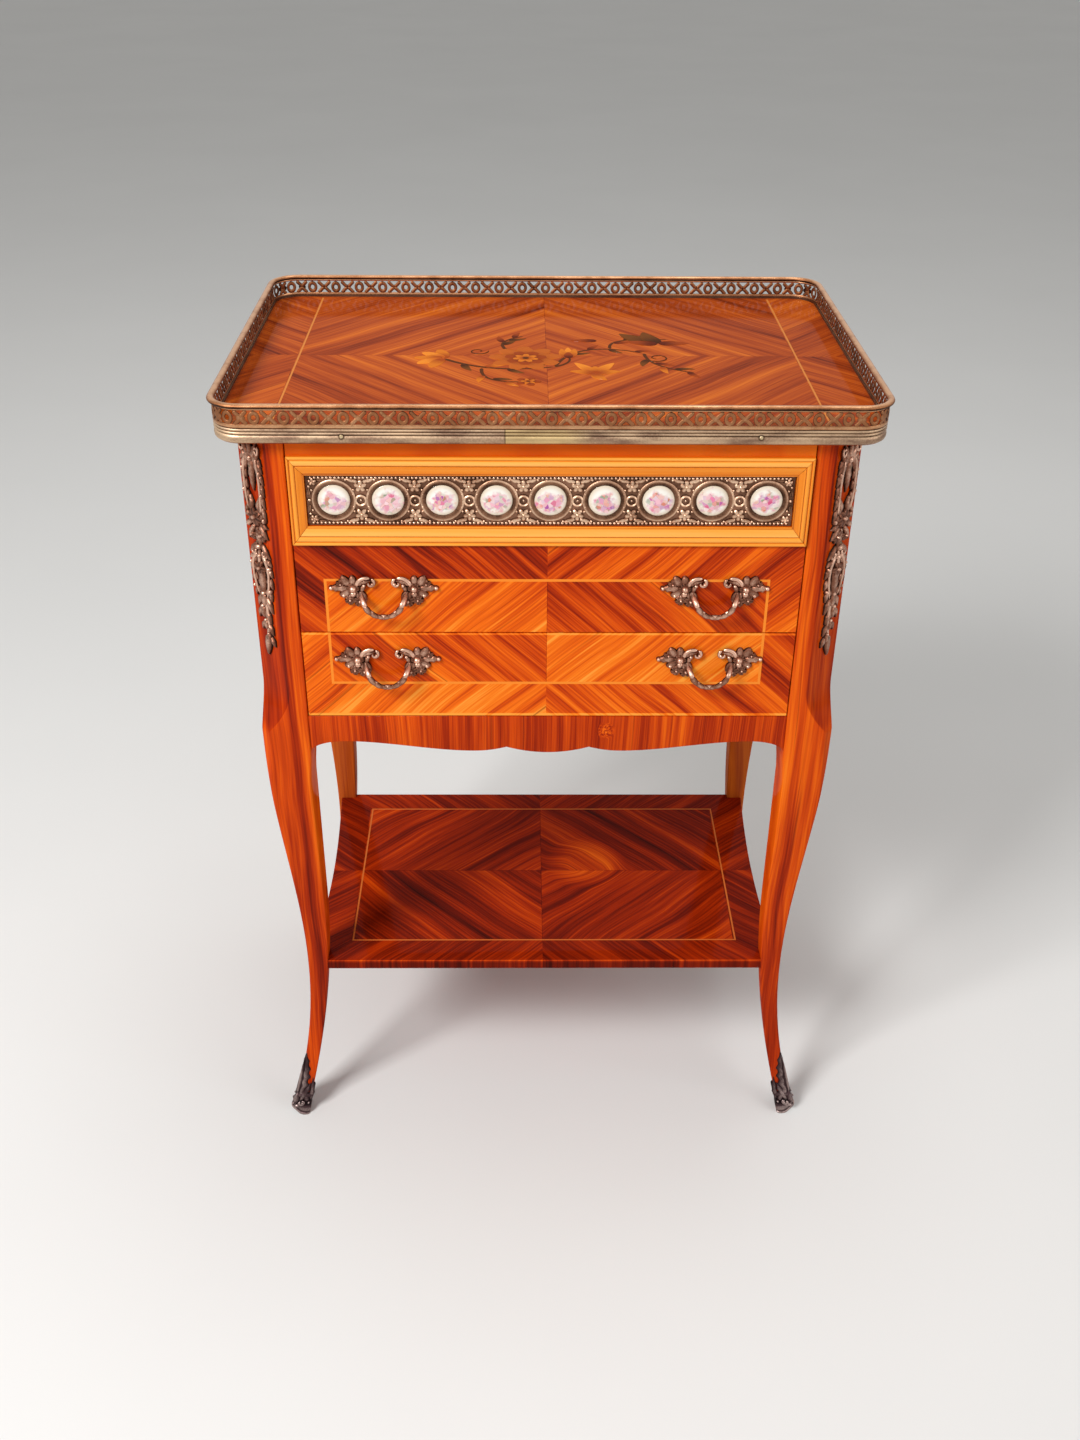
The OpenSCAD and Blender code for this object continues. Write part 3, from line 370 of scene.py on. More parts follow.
@dataclass(frozen=True)
class Match:
    """Four matched quarters round a centre, with a crossed border outside a stringing rectangle.

    The grain lines of the field are the sides of diamonds round the centre. Those of the border cross them.
    line is the stringing's width. Neighbouring quarters differ in tone by chatoyance, a painted sheen, the
    border by border_tone, and rise adds tone with height. dark_ring is how far across the grain a dark
    diamond lies.
    seam is half the width of the joints between quarters, and dark what they and the ring take from the tone.
    """

    axes: tuple[int, int]
    centre: tuple[float, float]
    half: tuple[float, float]
    slant: float = 45.0
    line: float = 0.0
    chatoyance: float = 0.12
    border_tone: float = 0.0
    rise: float = 0.0
    dark_ring: float = 0.0
    seam: float = 0.22
    dark: float = 0.22


@dataclass(frozen=True)
class Knot:
    """A place where the grain swerves: x, the other coordinate by its axis, and the radius, in millimetres.

    push moves the streaks aside, blotch mottles them and glow makes them paler.
    """

    x: float
    axis: int
    other: float
    radius: float
    push: float = 5.0
    blotch: float = 0.0
    glow: float = 0.0


@dataclass(frozen=True)
# rise=-1.8 paints shade: the drawer fronts get darker towards the top.
class Veneer:
    # Painted highlights: pale lines along the lower drawer's bottom arris and along its top edge at the seam.
    """French polished kingwood: long streaks with the grain, plum lines, and a glossy coat.

    Each band changes the tone where a coordinate's distance from the middle is near a value: axis, value,
    half width and change. cant darkens the mesh's crest, which paints shade on the legs' canted faces, and
    foot the lowest 32 cm.
    """

    name: str
    run: Run = Run.ALONG_Z
    match: Optional[Match] = None
    tone: float = 0.55
    contrast: float = 1.0
    coat: float = 0.12
    spread: float = 1.0
    wave: float = 0.012
    seed: float = 0.0
    palette: Stops = KINGWOOD
    bands: Sequence[tuple[int, float, float, float]] = ()
    cant: float = 0.0
    foot: float = 0.0
    knot: Optional[Knot] = None

    def material(self) -> Material:
        """Builds the material.

        Returns:
            The material.
        """
        sh = Shader(self.name)
        line: Operand = 0.0
        shift: Operand = 0.0
        place = sh.split(sh.place())
        if self.match is None:
            along, across, third = (place[i] for i in self.run.value)
        else:
            along, across, shift, line, third = self._quarters(place, self.match)
        if self.knot is not None:
            knot = self.knot
            off = sh.distance(place[0] - knot.x * MM, place[knot.axis] - knot.other * MM)
            near = off.step(knot.radius * MM, knot.radius * 0.35 * MM)
            across = across + near * (knot.push * MM)
            shift = shift + near * ((sh.noise(sh.place(), 480.0, 2.0) - 0.47) * knot.blotch + knot.glow)
        tone, fine, plum = self._figure(sh, along, across, third)
        for axis, middle, half, change in self.bands:
            off = abs(abs(place[axis]) - middle * MM)
            shift = shift + off.step(half * 1.2 * MM, half * 0.8 * MM) * change
        # Painted shade on the crest, which marks the legs' canted faces; foot makes the lowest 32 cm darker.
        if self.cant:
            shift = shift - sh.attribute("crest") * self.cant
            shift = shift - place[2].step(0.32, 0.04) * self.foot
        colour = sh.ramp((tone + shift).clamped(), self.palette)
        colour = sh.mix(plum * 0.55, colour, PLUM)
        if self.match is not None and self.match.line:
            colour = sh.mix(line, colour, STRINGING)
        haze = sh.noise(sh.place(), 9.0, 3.0)
        polish = {"Coat_Weight": self.coat, "Coat_Roughness": 0.1, "Specular_IOR_Level": 0.0}
        return sh.surface(colour, 0.34 + haze * 0.24, fine, 0.00005, **polish)

    @staticmethod
    def _quarters(place: Sequence[Wire], m: Match) -> tuple[Wire, Wire, Wire, Wire, Wire]:
        """Grain coordinates of the matched quarters.

        In the field the coordinate across the grain is |a| sin + |b| cos of the slant, in the border it is
        |a| sin - |b| cos, where a and b are the distances from the centre.

        Args:
            place: the three coordinates of the point.
            m: the panel's layout.

        Returns:
            Along, across, shift of tone, mask of the stringing, and a coordinate that parts field and border.
        """
        a, b = (place[axis] - middle * MM for axis, middle in zip(m.axes, m.centre))
        wide, tall = abs(a), abs(b)
        sine, cosine = math.sin(math.radians(m.slant)), math.cos(math.radians(m.slant))
        inside = wide.below(m.half[0] * MM) * tall.below(m.half[1] * MM)
        flip = inside * 2.0 - 1.0
        across = wide * sine + tall * cosine * flip
        along = wide * cosine - tall * sine * flip
        same = a.above(0.0)
        same = same * b.above(0.0) + (1.0 - same) * b.below(0.0)
        # The chatoyance term is painted sheen: alternate quarters lighter and darker.
        shift = (0.5 - same) * flip * m.chatoyance + (1.0 - inside) * m.border_tone + b * m.rise
        half_line = m.line / 2 * MM
        edge_a = abs(wide - m.half[0] * MM).below(half_line) * tall.below(m.half[1] * MM + half_line)
        edge_b = abs(tall - m.half[1] * MM).below(half_line) * wide.below(m.half[0] * MM + half_line)
        seam = wide.least(tall).below(m.seam * MM) * inside
        shift = shift - seam * m.dark
        if m.dark_ring:
            shift = shift - abs(across - m.dark_ring * MM).step(0.0045, 0.001) * inside * m.dark
            shift = shift + (across.below(m.dark_ring * MM) * 0.05 - 0.02) * inside
        return along, across, shift, edge_a.largest(edge_b), inside * 3.7 + same * 0.35

    def _figure(self, sh: Shader, along: Wire, across: Wire, third: Wire) -> tuple[Wire, Wire, Wire]:
        """Figure of the wood: noise drawn out along the grain at three widths.

        Args:
            sh: the material.
            along: metres along the grain.
            across: metres across it.
            third: the remaining coordinate.

        Returns:
            Tone for the ramp, fine pore relief, and mask of the plum lines.
        """
        drift = sh.noise(sh.joined(along * 7.0, across * 7.0, third * 7.0 + self.seed), 1.0, 1.0)
        across = across + (drift - 0.5) * self.wave

        def streaks(width: float, length: float, detail: float, seed: float) -> Wire:
            """Noise with streaks of about that width and length in metres."""
            point = sh.joined(along * (1 / length), across * (1 / width), third * 24.0 + (self.seed + seed))
            return sh.noise(point, 1.0, detail) - 0.5

        wide = streaks(0.03 * self.spread, 0.6, 1.0, 1.3)
        middle = streaks(0.0075 * self.spread, 0.35, 2.0, 5.1)
        fine = streaks(0.0018 * self.spread, 0.07, 2.0, 9.7)
        tone = self.tone + (wide * 0.7 + middle * 0.8 + fine * 0.65) * self.contrast
        plum = (streaks(0.0045 * self.spread, 0.4, 3.0, 14.2) + 0.5).step(0.6, 0.72)
        return tone, fine + 0.5, plum


@dataclass(frozen=True)
class PlainWood:
    """Unpolished wood with straight grain, for the inside and the hidden rails."""

    name: str
    run: Run
    pale: Colour = (0.66, 0.38, 0.17)
    dark: Colour = (0.38, 0.18, 0.065)
    coat: float = 0.0
    rough: float = 0.62

    def material(self) -> Material:
        """Builds the material.

        Returns:
            The material.
        """
        sh = Shader(self.name)
        parts = sh.split(sh.place())
        along, across, third = (parts[i] for i in self.run.value)
        bands = sh.noise(sh.joined(along * 2.5, across * 60.0, third * 60.0), 1.0, 3.0)
        pores = sh.noise(sh.joined(along * 25.0, across * 900.0, third * 900.0), 1.0, 2.0)
        colour = sh.mix((bands * 2.2 - 0.6).clamped(), self.dark, self.pale)
        colour = sh.mix((pores - 0.5).step(0.05, 0.2) * 0.35, colour, self.dark)
        polish = {"Coat_Weight": self.coat, "Coat_Roughness": 0.15, "Specular_IOR_Level": 0.1}
        return sh.surface(colour, self.rough + (bands - 0.5) * 0.2, pores, 0.00008, **polish)


@dataclass(frozen=True)
class HoneyWood:
    """Honey coloured moulding with grain along each length, painted pale on its ribs as a highlight and
    orange in the quirks as shade.
    """

    name: str = "honey_moulding"
    palette: Stops = (
        (0.0, (0.3, 0.05, 0.003)),
        (0.3, (0.78, 0.21, 0.008)),
        (0.6, (0.9, 0.34, 0.035)),
        (1.0, (0.96, 0.48, 0.12)),
    )

    def material(self) -> Material:
        """Builds the material from the mesh's grain and crest; the crest carries painted highlights and
        painted shade.

        Returns:
            The material.
        """
        sh = Shader(self.name)
        along, across, _ = sh.split(sh.attribute("grain", vector=True))
        crest = sh.attribute("crest")
        bands = sh.noise(sh.joined(along * 5.0, across * 260.0, 0.0), 1.0, 3.0)
        pores = sh.noise(sh.joined(along * 40.0, across * 1500.0, 0.0), 1.0, 2.0)
        # Painted light: a high crest gives a pale highlight on the ribs, a low one painted shade in the
        # quirks.
        tone = crest * 0.8 + (bands - 0.5) * 0.55 + 0.05
        colour = sh.ramp(tone.clamped(), self.palette)
        polish = {"Coat_Weight": 0.15, "Coat_Roughness": 0.12, "Specular_IOR_Level": 0.2}
        return sh.surface(colour, 0.34 + bands * 0.15, pores, 0.00004, **polish)


@dataclass(frozen=True)
class Inlay:
    """Small pieces of coloured veneer, sand shaded darker towards their roots."""

    name: str
    colour: Colour
    shade: Colour
    shaded: bool = True

    def material(self) -> Material:
        """Builds the material; the shading reads how far a point is from the root of its leaf.

        Returns:
            The material.
        """
        sh = Shader(self.name)
        x, y, _ = sh.split(sh.place())
        grain = sh.noise(sh.joined((x + y) * 900.0, (x - y) * 60.0, 0.0), 1.0, 2.0)
        burnt: Operand = 0.0
        if self.shaded:
            burnt = 1.0 - sh.attribute("crest").step(0.1, 0.75)
        colour = sh.mix((burnt + (grain - 0.5) * 1.1).clamped(), self.colour, self.shade)
        return sh.surface(colour, 0.4, Coat_Weight=0.1, Coat_Roughness=0.12, Specular_IOR_Level=0.0)


@dataclass(frozen=True)
class Bronze:
    """Aged cast bronze: dark patina in the hollows, rubbed bright on the tops."""

    name: str
    patina: Colour = (0.028, 0.014, 0.011)
    metal: Colour = (0.23, 0.092, 0.055)
    rubbed: Colour = (0.78, 0.48, 0.35)
    crested: bool = True

    def material(self) -> Material:
        """Builds the material; without a crest on the mesh, noise alone gives the wear.

        Returns:
            The material.
        """
        sh = Shader(self.name)
        place = sh.place()
        cloud = sh.noise(place, 60.0, 3.0)
        grit = sh.noise(place, 900.0, 2.0)
        crest = sh.attribute("crest") if self.crested else cloud * 0.5 + 0.1
        wear = crest + (cloud - 0.5) * 0.8 + (grit - 0.5) * 0.3
        colour = sh.mix(wear.step(0.15, 0.6), self.patina, self.metal)
        colour = sh.mix(wear.step(0.6, 1.05), colour, self.rubbed)
        rough = 0.58 - wear.step(0.2, 1.1) * 0.26
        return sh.surface(colour, rough, grit, 0.00012, Metallic=1.0)


@dataclass(frozen=True)
class Brass:
    """Worn brass with brown tarnish in its reeds, painted shade round its nails, and a brighter let-in length
    in front.

    splice is the x at which the let-in length starts and ends. It has a dark joint at its start and fades out
    over the last fade. nail is the x and z of a nail.
    """

    name: str
    bright: Colour = (0.6, 0.42, 0.27)
    tarnish: Colour = (0.26, 0.15, 0.1)
    splice: tuple[float, float] = (0.0, 0.0)
    reeded: bool = False
    nail: tuple[float, float] = (155.3, 710.0)
    fade: float = 30.0
    let_in: Colour = (0.68, 0.5, 0.23)
    joint: Colour = (0.1, 0.06, 0.03)
    # Colour of the tarnish in the reeds' hollows and of the painted shade round the nails.
    reed_tarnish_and_nail_shade: Colour = (0.07, 0.035, 0.02)

    def material(self) -> Material:
        """Builds the material.

        Returns:
            The material.
        """
        sh = Shader(self.name)
        place = sh.place()
        x, y, z = sh.split(place)
        cloud = sh.noise(sh.joined(x * 22.0, y * 22.0, z * 90.0), 1.0, 3.0)
        grit = sh.noise(place, 700.0, 2.0)
        wear = cloud + (grit - 0.5) * 0.3
        colour = sh.mix(wear.step(0.3, 0.66), self.tarnish, self.bright)
        if self.splice[1] > self.splice[0]:
            start, end = (edge * MM for edge in self.splice)
            here = x.above(start) * x.step(end, end - self.fade * MM) * y.below(0.0)
            colour = sh.mix(here * (cloud + 0.15), colour, self.let_in)
            colour = sh.mix(abs(x - start).below(0.0004) * y.below(0.0) * 0.8, colour, self.joint)
        if self.reeded:
            hollow = sh.attribute("crest").step(0.5, 0.05) * 0.75
            # Painted shade: a dark ring round each nail head, joined with the tarnish in the reeds' hollows.
            off = sh.distance(abs(x) - self.nail[0] * MM, z - self.nail[1] * MM)
            colour = sh.mix(hollow.largest(off.step(0.0031, 0.0018) * 0.85), colour, self.reed_tarnish_and_nail_shade)
        return sh.surface(colour, 0.36 + wear * 0.2, grit, 0.00005, Metallic=1.0)


@dataclass(frozen=True)
class Porcelain:
    """White glazed plaque with a posy of roses: petals as cells of colour, denser towards its middle."""

    centre_z: float
    pitch: float
    name: str = "painted_porcelain"
    glaze: Colour = (0.88, 0.85, 0.78)
    gilding: Colour = (0.62, 0.42, 0.22)
    petals: Stops = (
        (0.0, (0.6, 0.05, 0.16)),
        (0.22, (0.8, 0.2, 0.36)),
        (0.42, (0.36, 0.06, 0.32)),
        (0.56, (0.85, 0.45, 0.4)),
        (0.7, (0.13, 0.2, 0.1)),
        (0.82, (0.7, 0.12, 0.06)),
        (1.0, (0.85, 0.55, 0.6)),
    )

    def material(self) -> Material:
        """Builds the material; each plaque has its own posy.

        Returns:
            The material.
        """
        sh = Shader(self.name)
        x, _, z = sh.split(sh.place())
        turn = x / (self.pitch * MM) + 0.5
        index = turn.rounded_down()
        a = (turn - index - 0.5) * (self.pitch * MM)
        b = z - self.centre_z * MM
        point = sh.joined(a, b, index * 0.37)
        blur = sh.noise(point, 260.0, 2.0, "Color")
        drift = {0: blur, 1: (0.0022,) * 3, 2: point}
        moved = sh.node("VectorMath", {"operation": "MULTIPLY_ADD"}, drift)
        cell = {"Vector": moved, "Scale": 310.0, "Smoothness": 0.3}
        cells = sh.node("TexVoronoi", {"feature": "SMOOTH_F1"}, cell, "Color")
        pick, lift, _ = sh.split(cells)
        low = b + 0.0018
        spread = sh.noise(sh.joined(a, b, index * 0.91 + 4.0), 150.0, 2.0)
        radius = (a * a * 0.8 + low * low * 1.1).root()
        posy = (radius + (0.5 - spread) * 0.017).step(0.0108, 0.0056)
        posy = posy * (0.4 + lift * 0.65).least(1.0)
        white = sh.mix(sh.distance(a, b).step(0.0078, 0.0126) * 0.6, self.glaze, self.gilding)
        colour = sh.mix(posy, white, sh.ramp(pick, self.petals))
        return sh.surface(colour, 0.16, Coat_Weight=0.6, Coat_Roughness=0.05, Specular_IOR_Level=0.5)


# Surfaces


@dataclass
class Shell:
    """A closed surface.

    points are x, y, z rows, or a grid of them, which is flattened. faces are arrays of corner numbers, one
    array for each number of corners. crest is 0 in the hollows of a relief and 1 on its tops. grain holds
    pattern coordinates that follow the surface.
    """

    points: Array
    faces: list[Array]
    crest: Optional[Array] = None
    grain: Optional[Array] = None

    def __post_init__(self) -> None:
        """Flattens grids, and fills the attributes that were left out."""
        self.points = self.points.reshape(-1, 3)
        count = len(self.points)
        self.crest = np.zeros(count) if self.crest is None else self.crest.reshape(-1)
        self.grain = np.zeros((count, 3)) if self.grain is None else self.grain.reshape(-1, 3)

    def outward(self) -> Shell:
        """Turns the faces outwards: the volume summed over their triangles has to be positive.

        Returns:
            The same shell.
        """
        volume = 0.0
        for group in self.faces:
            corner = self.points[group]
            spokes = corner[:, 1:] - corner[:, :1]
            turn = np.cross(spokes[:, :-1], spokes[:, 1:])
            volume += float(np.einsum("mj,mkj->", corner[:, 0], turn))
        if volume < 0:
            self.faces = [group[:, ::-1] for group in self.faces]
        return self

    def on_plate(self, origin: Numbers, across: Numbers, up: Numbers, out: Numbers) -> Shell:
        """Moves a shell from a plate to the table: u, v and w run across, up and out from the origin."""
        points = self.points @ np.array([across, up, out], float) + np.array(origin, float)
        return Shell(points, self.faces, self.crest, self.grain).outward()


def joined(shells: Sequence[Shell]) -> Shell:
    """One shell that holds several.

    Args:
        shells: the shells in order.

    Returns:
        The shell.
    """
    starts = np.cumsum([0] + [len(s.points) for s in shells[:-1]])
    groups = [group + start for s, start in zip(shells, starts) for group in s.faces]
    return Shell(
        np.concatenate([s.points for s in shells]),
        groups,
        np.concatenate([s.crest for s in shells]),
        np.concatenate([s.grain for s in shells]),
    )


def scattered(shell: Shell, places: Array) -> Shell:
    """Copies of a shell as one shell: each point is moved by each of the places.

    Args:
        shell: what is copied.
        places: where each copy goes.

    Returns:
        The shell.
    """
    count, size = len(places), len(shell.points)
    starts = (np.arange(count) * size)[:, None, None]
    groups = [(group[None] + starts).reshape(-1, group.shape[1]) for group in shell.faces]
    points = shell.points[None] + places[:, None]
    return Shell(points, groups, np.tile(shell.crest, count), np.tile(shell.grain, (count, 1)))


def in_row(count: int, step: float) -> Array:
    """Places at even steps along u about the middle."""
    u = (np.arange(count) - (count - 1) / 2) * step
    return np.stack([u, 0 * u, 0 * u], -1)


def grid_quads(rows: int, cols: int, wrap_rows: bool, wrap_cols: bool) -> Array:
    """Four-sided faces of a grid of points.

    Args:
        rows, cols: size of the grid.
        wrap_rows: whether the last row joins the first.
        wrap_cols: whether the last column joins the first.

    Returns:
        The faces, each as four corner numbers.
    """
    r = np.arange(rows if wrap_rows else rows - 1)[:, None]
    c = np.arange(cols if wrap_cols else cols - 1)[None, :]
    r2, c2 = (r + 1) % rows, (c + 1) % cols
    corners = (r * cols + c, r * cols + c2, r2 * cols + c2, r2 * cols + c)
    return np.stack([np.broadcast_to(k, (r.shape[0], c.shape[1])) for k in corners], -1).reshape(-1, 4)


def ring(points: Array, crest: Optional[Array] = None) -> Shell:
    """Shell of a grid that closes in both directions, as a profile carried round a closed path."""
    return Shell(points, [grid_quads(*points.shape[:2], True, True)], crest).outward()


def capped(points: Array, crest: Optional[Array] = None, grain: Optional[Array] = None) -> Shell:
    """Shell of a grid whose rows are closed loops, with a flat face over the first and the last.

    Args:
        points: rows by columns by 3.
        crest: rows by columns.
        grain: rows by columns by 3.

    Returns:
        The shell.
    """
    rows, cols = points.shape[:2]
    ends = np.stack([np.arange(cols)[::-1], np.arange(cols) + (rows - 1) * cols])
    return Shell(points, [grid_quads(rows, cols, False, True), ends], crest, grain).outward()


def poled(points: Array, start: Array, end: Array, crest: Array, ends: tuple[float, float] = (0, 0)) -> Shell:
    """Shell of a grid whose rows are closed loops that draw in to a point at both ends.

    Args:
        points: rows by columns by 3.
        start: the pole before the first row.
        end: the pole after the last row.
        crest: rows by columns.
        ends: crest at the two poles.

    Returns:
        The shell.
    """
    rows, cols = points.shape[:2]
    here = np.arange(cols)
    there = np.roll(here, -1)
    first, last = rows * cols, rows * cols + 1
    fans = np.concatenate(
        [
            np.stack([np.full(cols, first), there, here], -1),
            np.stack([np.full(cols, last), here + (rows - 1) * cols, there + (rows - 1) * cols], -1),
        ]
    )
    all_points = np.concatenate([points.reshape(-1, 3), start[None], end[None]])
    return Shell(all_points, [grid_quads(rows, cols, False, True), fans], np.append(crest, ends)).outward()


def around(count: int) -> Array:
    """That many angles at even steps round a circle, from 0."""
    return np.linspace(0, 2 * np.pi, count, endpoint=False)


def ease(t: Array) -> Array:
    """Smooth step from 0 to 1: t squared times 3 minus 2t, held between 0 and 1."""
    c = np.clip(t, 0.0, 1.0)
    return c * c * (3 - 2 * c)


def leaf(
    root: tuple[float, float],
    angle: float,
    length: float,
    width: float,
    height: float = 2.4,
    bend: float = 0.0,
    lift: float = 0.0,
    lobes: int = 0,
    base: float = 0.2,
    blunt: float = 1.0,
    rib: float = 0.35,
    rows: int = 0,
    cols: int = 10,
) -> Shell:
    """Cast leaf on a plate.

    At share t of its length the half width is t to the 0.55 times (1 - t) to the power blunt, scaled to the
    width; the midline turns by bend towards the tip and rises by lift times t squared; the section is a half
    oval with a groove along its middle, and |sin| waves notch the edges of a lobed leaf.

    Args:
        root: u, v of the stalk end.
        angle: direction in degrees, from u towards v.
        length: length along the midline.
        width: greatest width.
        height: height of the back above the plate.
        bend: turn in degrees from root to tip.
        lift: rise of the tip.
        lobes: lobes on each side.
        base: height at which the section is widest; the underside is as much lower, but no more than 1.2.
        blunt: below 1 the tip is round, above it is drawn out.
        rib: depth of the middle groove as a share of the height.
        rows: rings along the leaf, or 0 for the number that suits its lobes.
        cols: points round it.

    Returns:
        The leaf.
    """
    t = np.linspace(0, 1, (rows or LEAF_ROWS[lobes]) + 2)[:, None]
    phi = around(cols)[None, :]
    start = math.radians(angle)
    turn = math.radians(bend) if abs(bend) > 0.01 else 0.0002
    heading = start + turn * t
    mid_u = root[0] + length * (np.sin(heading) - math.sin(start)) / turn
    mid_v = root[1] - length * (np.cos(heading) - math.cos(start)) / turn
    peak = 0.55 / (0.55 + blunt)
    belly = t**0.55 * (1 - t) ** blunt / (peak**0.55 * (1 - peak) ** blunt)
    notch = 1 - 0.3 * np.abs(np.sin(np.pi * lobes * t)) if lobes else 1.0
    half = width / 2 * belly * notch
    back = height * t**0.4 * (1 - t) ** 0.45 / 0.58
    upper = np.clip(np.sin(phi), 0, 1)
    under = np.clip(-np.sin(phi), 0, 1)
    groove = np.exp(-((np.cos(phi) / 0.25) ** 2))
    rise = back * (upper**0.8) * (1 - rib * groove) - min(base, 1.2) * under
    if lobes:
        rise = rise * (1 - 0.35 * np.abs(np.sin(np.pi * lobes * t)) * np.abs(np.cos(phi)))
    side = half * np.cos(phi)
    u = mid_u - np.sin(heading) * side
    v = mid_v + np.cos(heading) * side
    w = base + lift * t**2 + rise
    points = np.stack(np.broadcast_arrays(u, v, w), -1)
    hollow = 0.75 * groove * min(1.0, max(rib, 0.0) / 0.35)
    crest = upper * (1 - hollow) * (0.55 + 0.45 * belly) + 0.12 * lift / 3 + 0 * t
    return poled(points[1:-1], points[0].mean(0), points[-1].mean(0), crest[1:-1], (0.1, 0.8))


def bead(
    u: float, v: float, radius: float, height: float, base: float = 0.0, rows: int = 5, cols: int = 10
) -> Shell:
    """Round boss: half an oval, with a shallow underside.

    Args:
        u, v: its middle.
        radius: greatest radius.
        height: height of the top above the base.
        base: height at which it is widest.
        rows: rings from top to bottom.
        cols: points round it.

    Returns:
        The boss.
    """
    t = np.linspace(0, np.pi, rows + 2)[1:-1, None]
    phi = around(cols)[None, :]
    up = np.cos(t)
    w = base + np.where(up > 0, up * height, up * height * 0.15) + 0 * phi
    points = np.stack([u + radius * np.sin(t) * np.cos(phi), v + radius * np.sin(t) * np.sin(phi), w], -1)
    crest = np.clip(up, 0, 1) ** 0.6 + 0 * phi
    top, bottom = np.array([u, v, base + height]), np.array([u, v, base - height * 0.15])
    return poled(points, top, bottom, crest, (1.0, 0.0))


def rod(path: Array, radius: Array, flat: float = 1.0, cols: int = 10) -> Shell:
    """Round or flattened bar along a path of u, v, w points.

    A section is radius times cos across the path in the plate's plane and radius times flat times sin square
    to it. The bar ends in points at the path's ends.

    Args:
        path: points along the middle.
        radius: half width at each point.
        flat: height as a share of the width.
        cols: points round the section.

    Returns:
        The bar.
    """
    tangent = np.gradient(path, axis=0)
    tangent /= np.linalg.norm(tangent, axis=1, keepdims=True)
    side = np.cross((0.0, 0.0, 1.0), tangent)
    side /= np.linalg.norm(side, axis=1, keepdims=True)
    top = np.cross(tangent, side)
    phi = around(cols)
    spread = radius[:, None, None] * (
        np.cos(phi)[None, :, None] * side[:, None] + flat * np.sin(phi)[None, :, None] * top[:, None]
    )
    crest = np.clip(0.45 + 0.6 * np.sin(phi), 0, 1)[None, :] + 0 * radius[:, None]
    points = path[:, None] + spread
    return poled(points[1:-1], path[0], path[-1], crest[1:-1], (0.6, 0.6))


def bowed(start: Numbers, control: Numbers, end: Numbers, count: int = 14) -> Array:
    """Quadratic curve.

    Args:
        start: its first point.
        control: the point that it is drawn towards.
        end: its last point.
        count: how many points it gets.

    Returns:
        Its points.
    """
    t = np.linspace(0, 1, count)[:, None]
    a, b, c = (np.array(p, float) for p in (start, control, end))
    return (1 - t) ** 2 * a + 2 * t * (1 - t) * b + t**2 * c


def strand(start: Numbers, control: Numbers, end: Numbers, thick: float, tip: float) -> Shell:
    """Bowed bar that thins evenly.

    Args:
        start: its first point.
        control: the point that it is drawn towards.
        end: its last point.
        thick: half width at the start.
        tip: half width at the end, as a share of thick.

    Returns:
        The bar.
    """
    path = bowed(start, control, end)
    t = np.linspace(0, 1, len(path))
    radius = thick * (1 + (tip - 1) * t) * np.clip(np.minimum(t, 1 - t) * 9, 0.25, 1)
    return rod(path, radius, 0.8)


def volute(u: float, v: float, size: float, thick: float, start: float, turns: float, w: float) -> Shell:
    """Scroll that winds in: its radius falls to a fifth, and its bar thins by nearly half.

    Args:
        u, v: its middle.
        size: radius at its outer end.
        thick: half width of the bar there.
        start: direction of that end in degrees.
        turns: turns that it makes, below 0 for clockwise.
        w: height of the bar's middle.

    Returns:
        The scroll.
    """
    t = np.linspace(0, 1, 22)
    angle = math.radians(start) + 2 * np.pi * turns * t
    reach = size * (1 - 0.8 * t)
    path = np.stack([u + reach * np.cos(angle), v + reach * np.sin(angle), np.full_like(t, w)], -1)
    return rod(path, thick * (1 - 0.45 * t) * np.clip(np.minimum(t, 1 - t) * 12, 0.3, 1), 0.9)


def hoop(wide: float, tall: float, bar: float, height: float) -> Shell:
    """Oval ring in the plate.

    Args:
        wide, tall: half width and half height to the middle of the bar.
        bar: half width of the bar as a share of those.
        height: height of the bar above the plate, and its depth below.

    Returns:
        The ring.
    """
    turn = around(20)[:, None]
    phi = around(8)[None, :]
    reach = 1 + bar * np.cos(phi)
    points = [wide * reach * np.cos(turn), tall * reach * np.sin(turn), height * np.sin(phi) + 0 * turn]
    return ring(np.stack(points, -1), np.clip(np.sin(phi), 0, 1) + 0 * turn)


def flower(
    u: float,
    v: float,
    size: float,
    petals: int,
    height: float,
    base: float = 0.3,
    turn: float = 0,
    rib: float = 0.3,
) -> Shell:
    """Rosette: round petals about a bead.

    Args:
        u, v: its middle.
        size: length of a petal.
        petals: how many.
        height: height of their backs.
        base: height at which they are widest.
        turn: direction of the first one in degrees.
        rib: depth of their grooves, as a share of the height.

    Returns:
        The rosette.
    """
    petal = {"blunt": 0.45, "base": base, "rib": rib, "rows": 5, "cols": 8}
    parts = [leaf((u, v), turn + 360 / petals * k, size, size * 0.78, height, **petal) for k in range(petals)]
    parts.append(bead(u, v, size * 0.3, height * 1.25, base))
    return joined(parts)


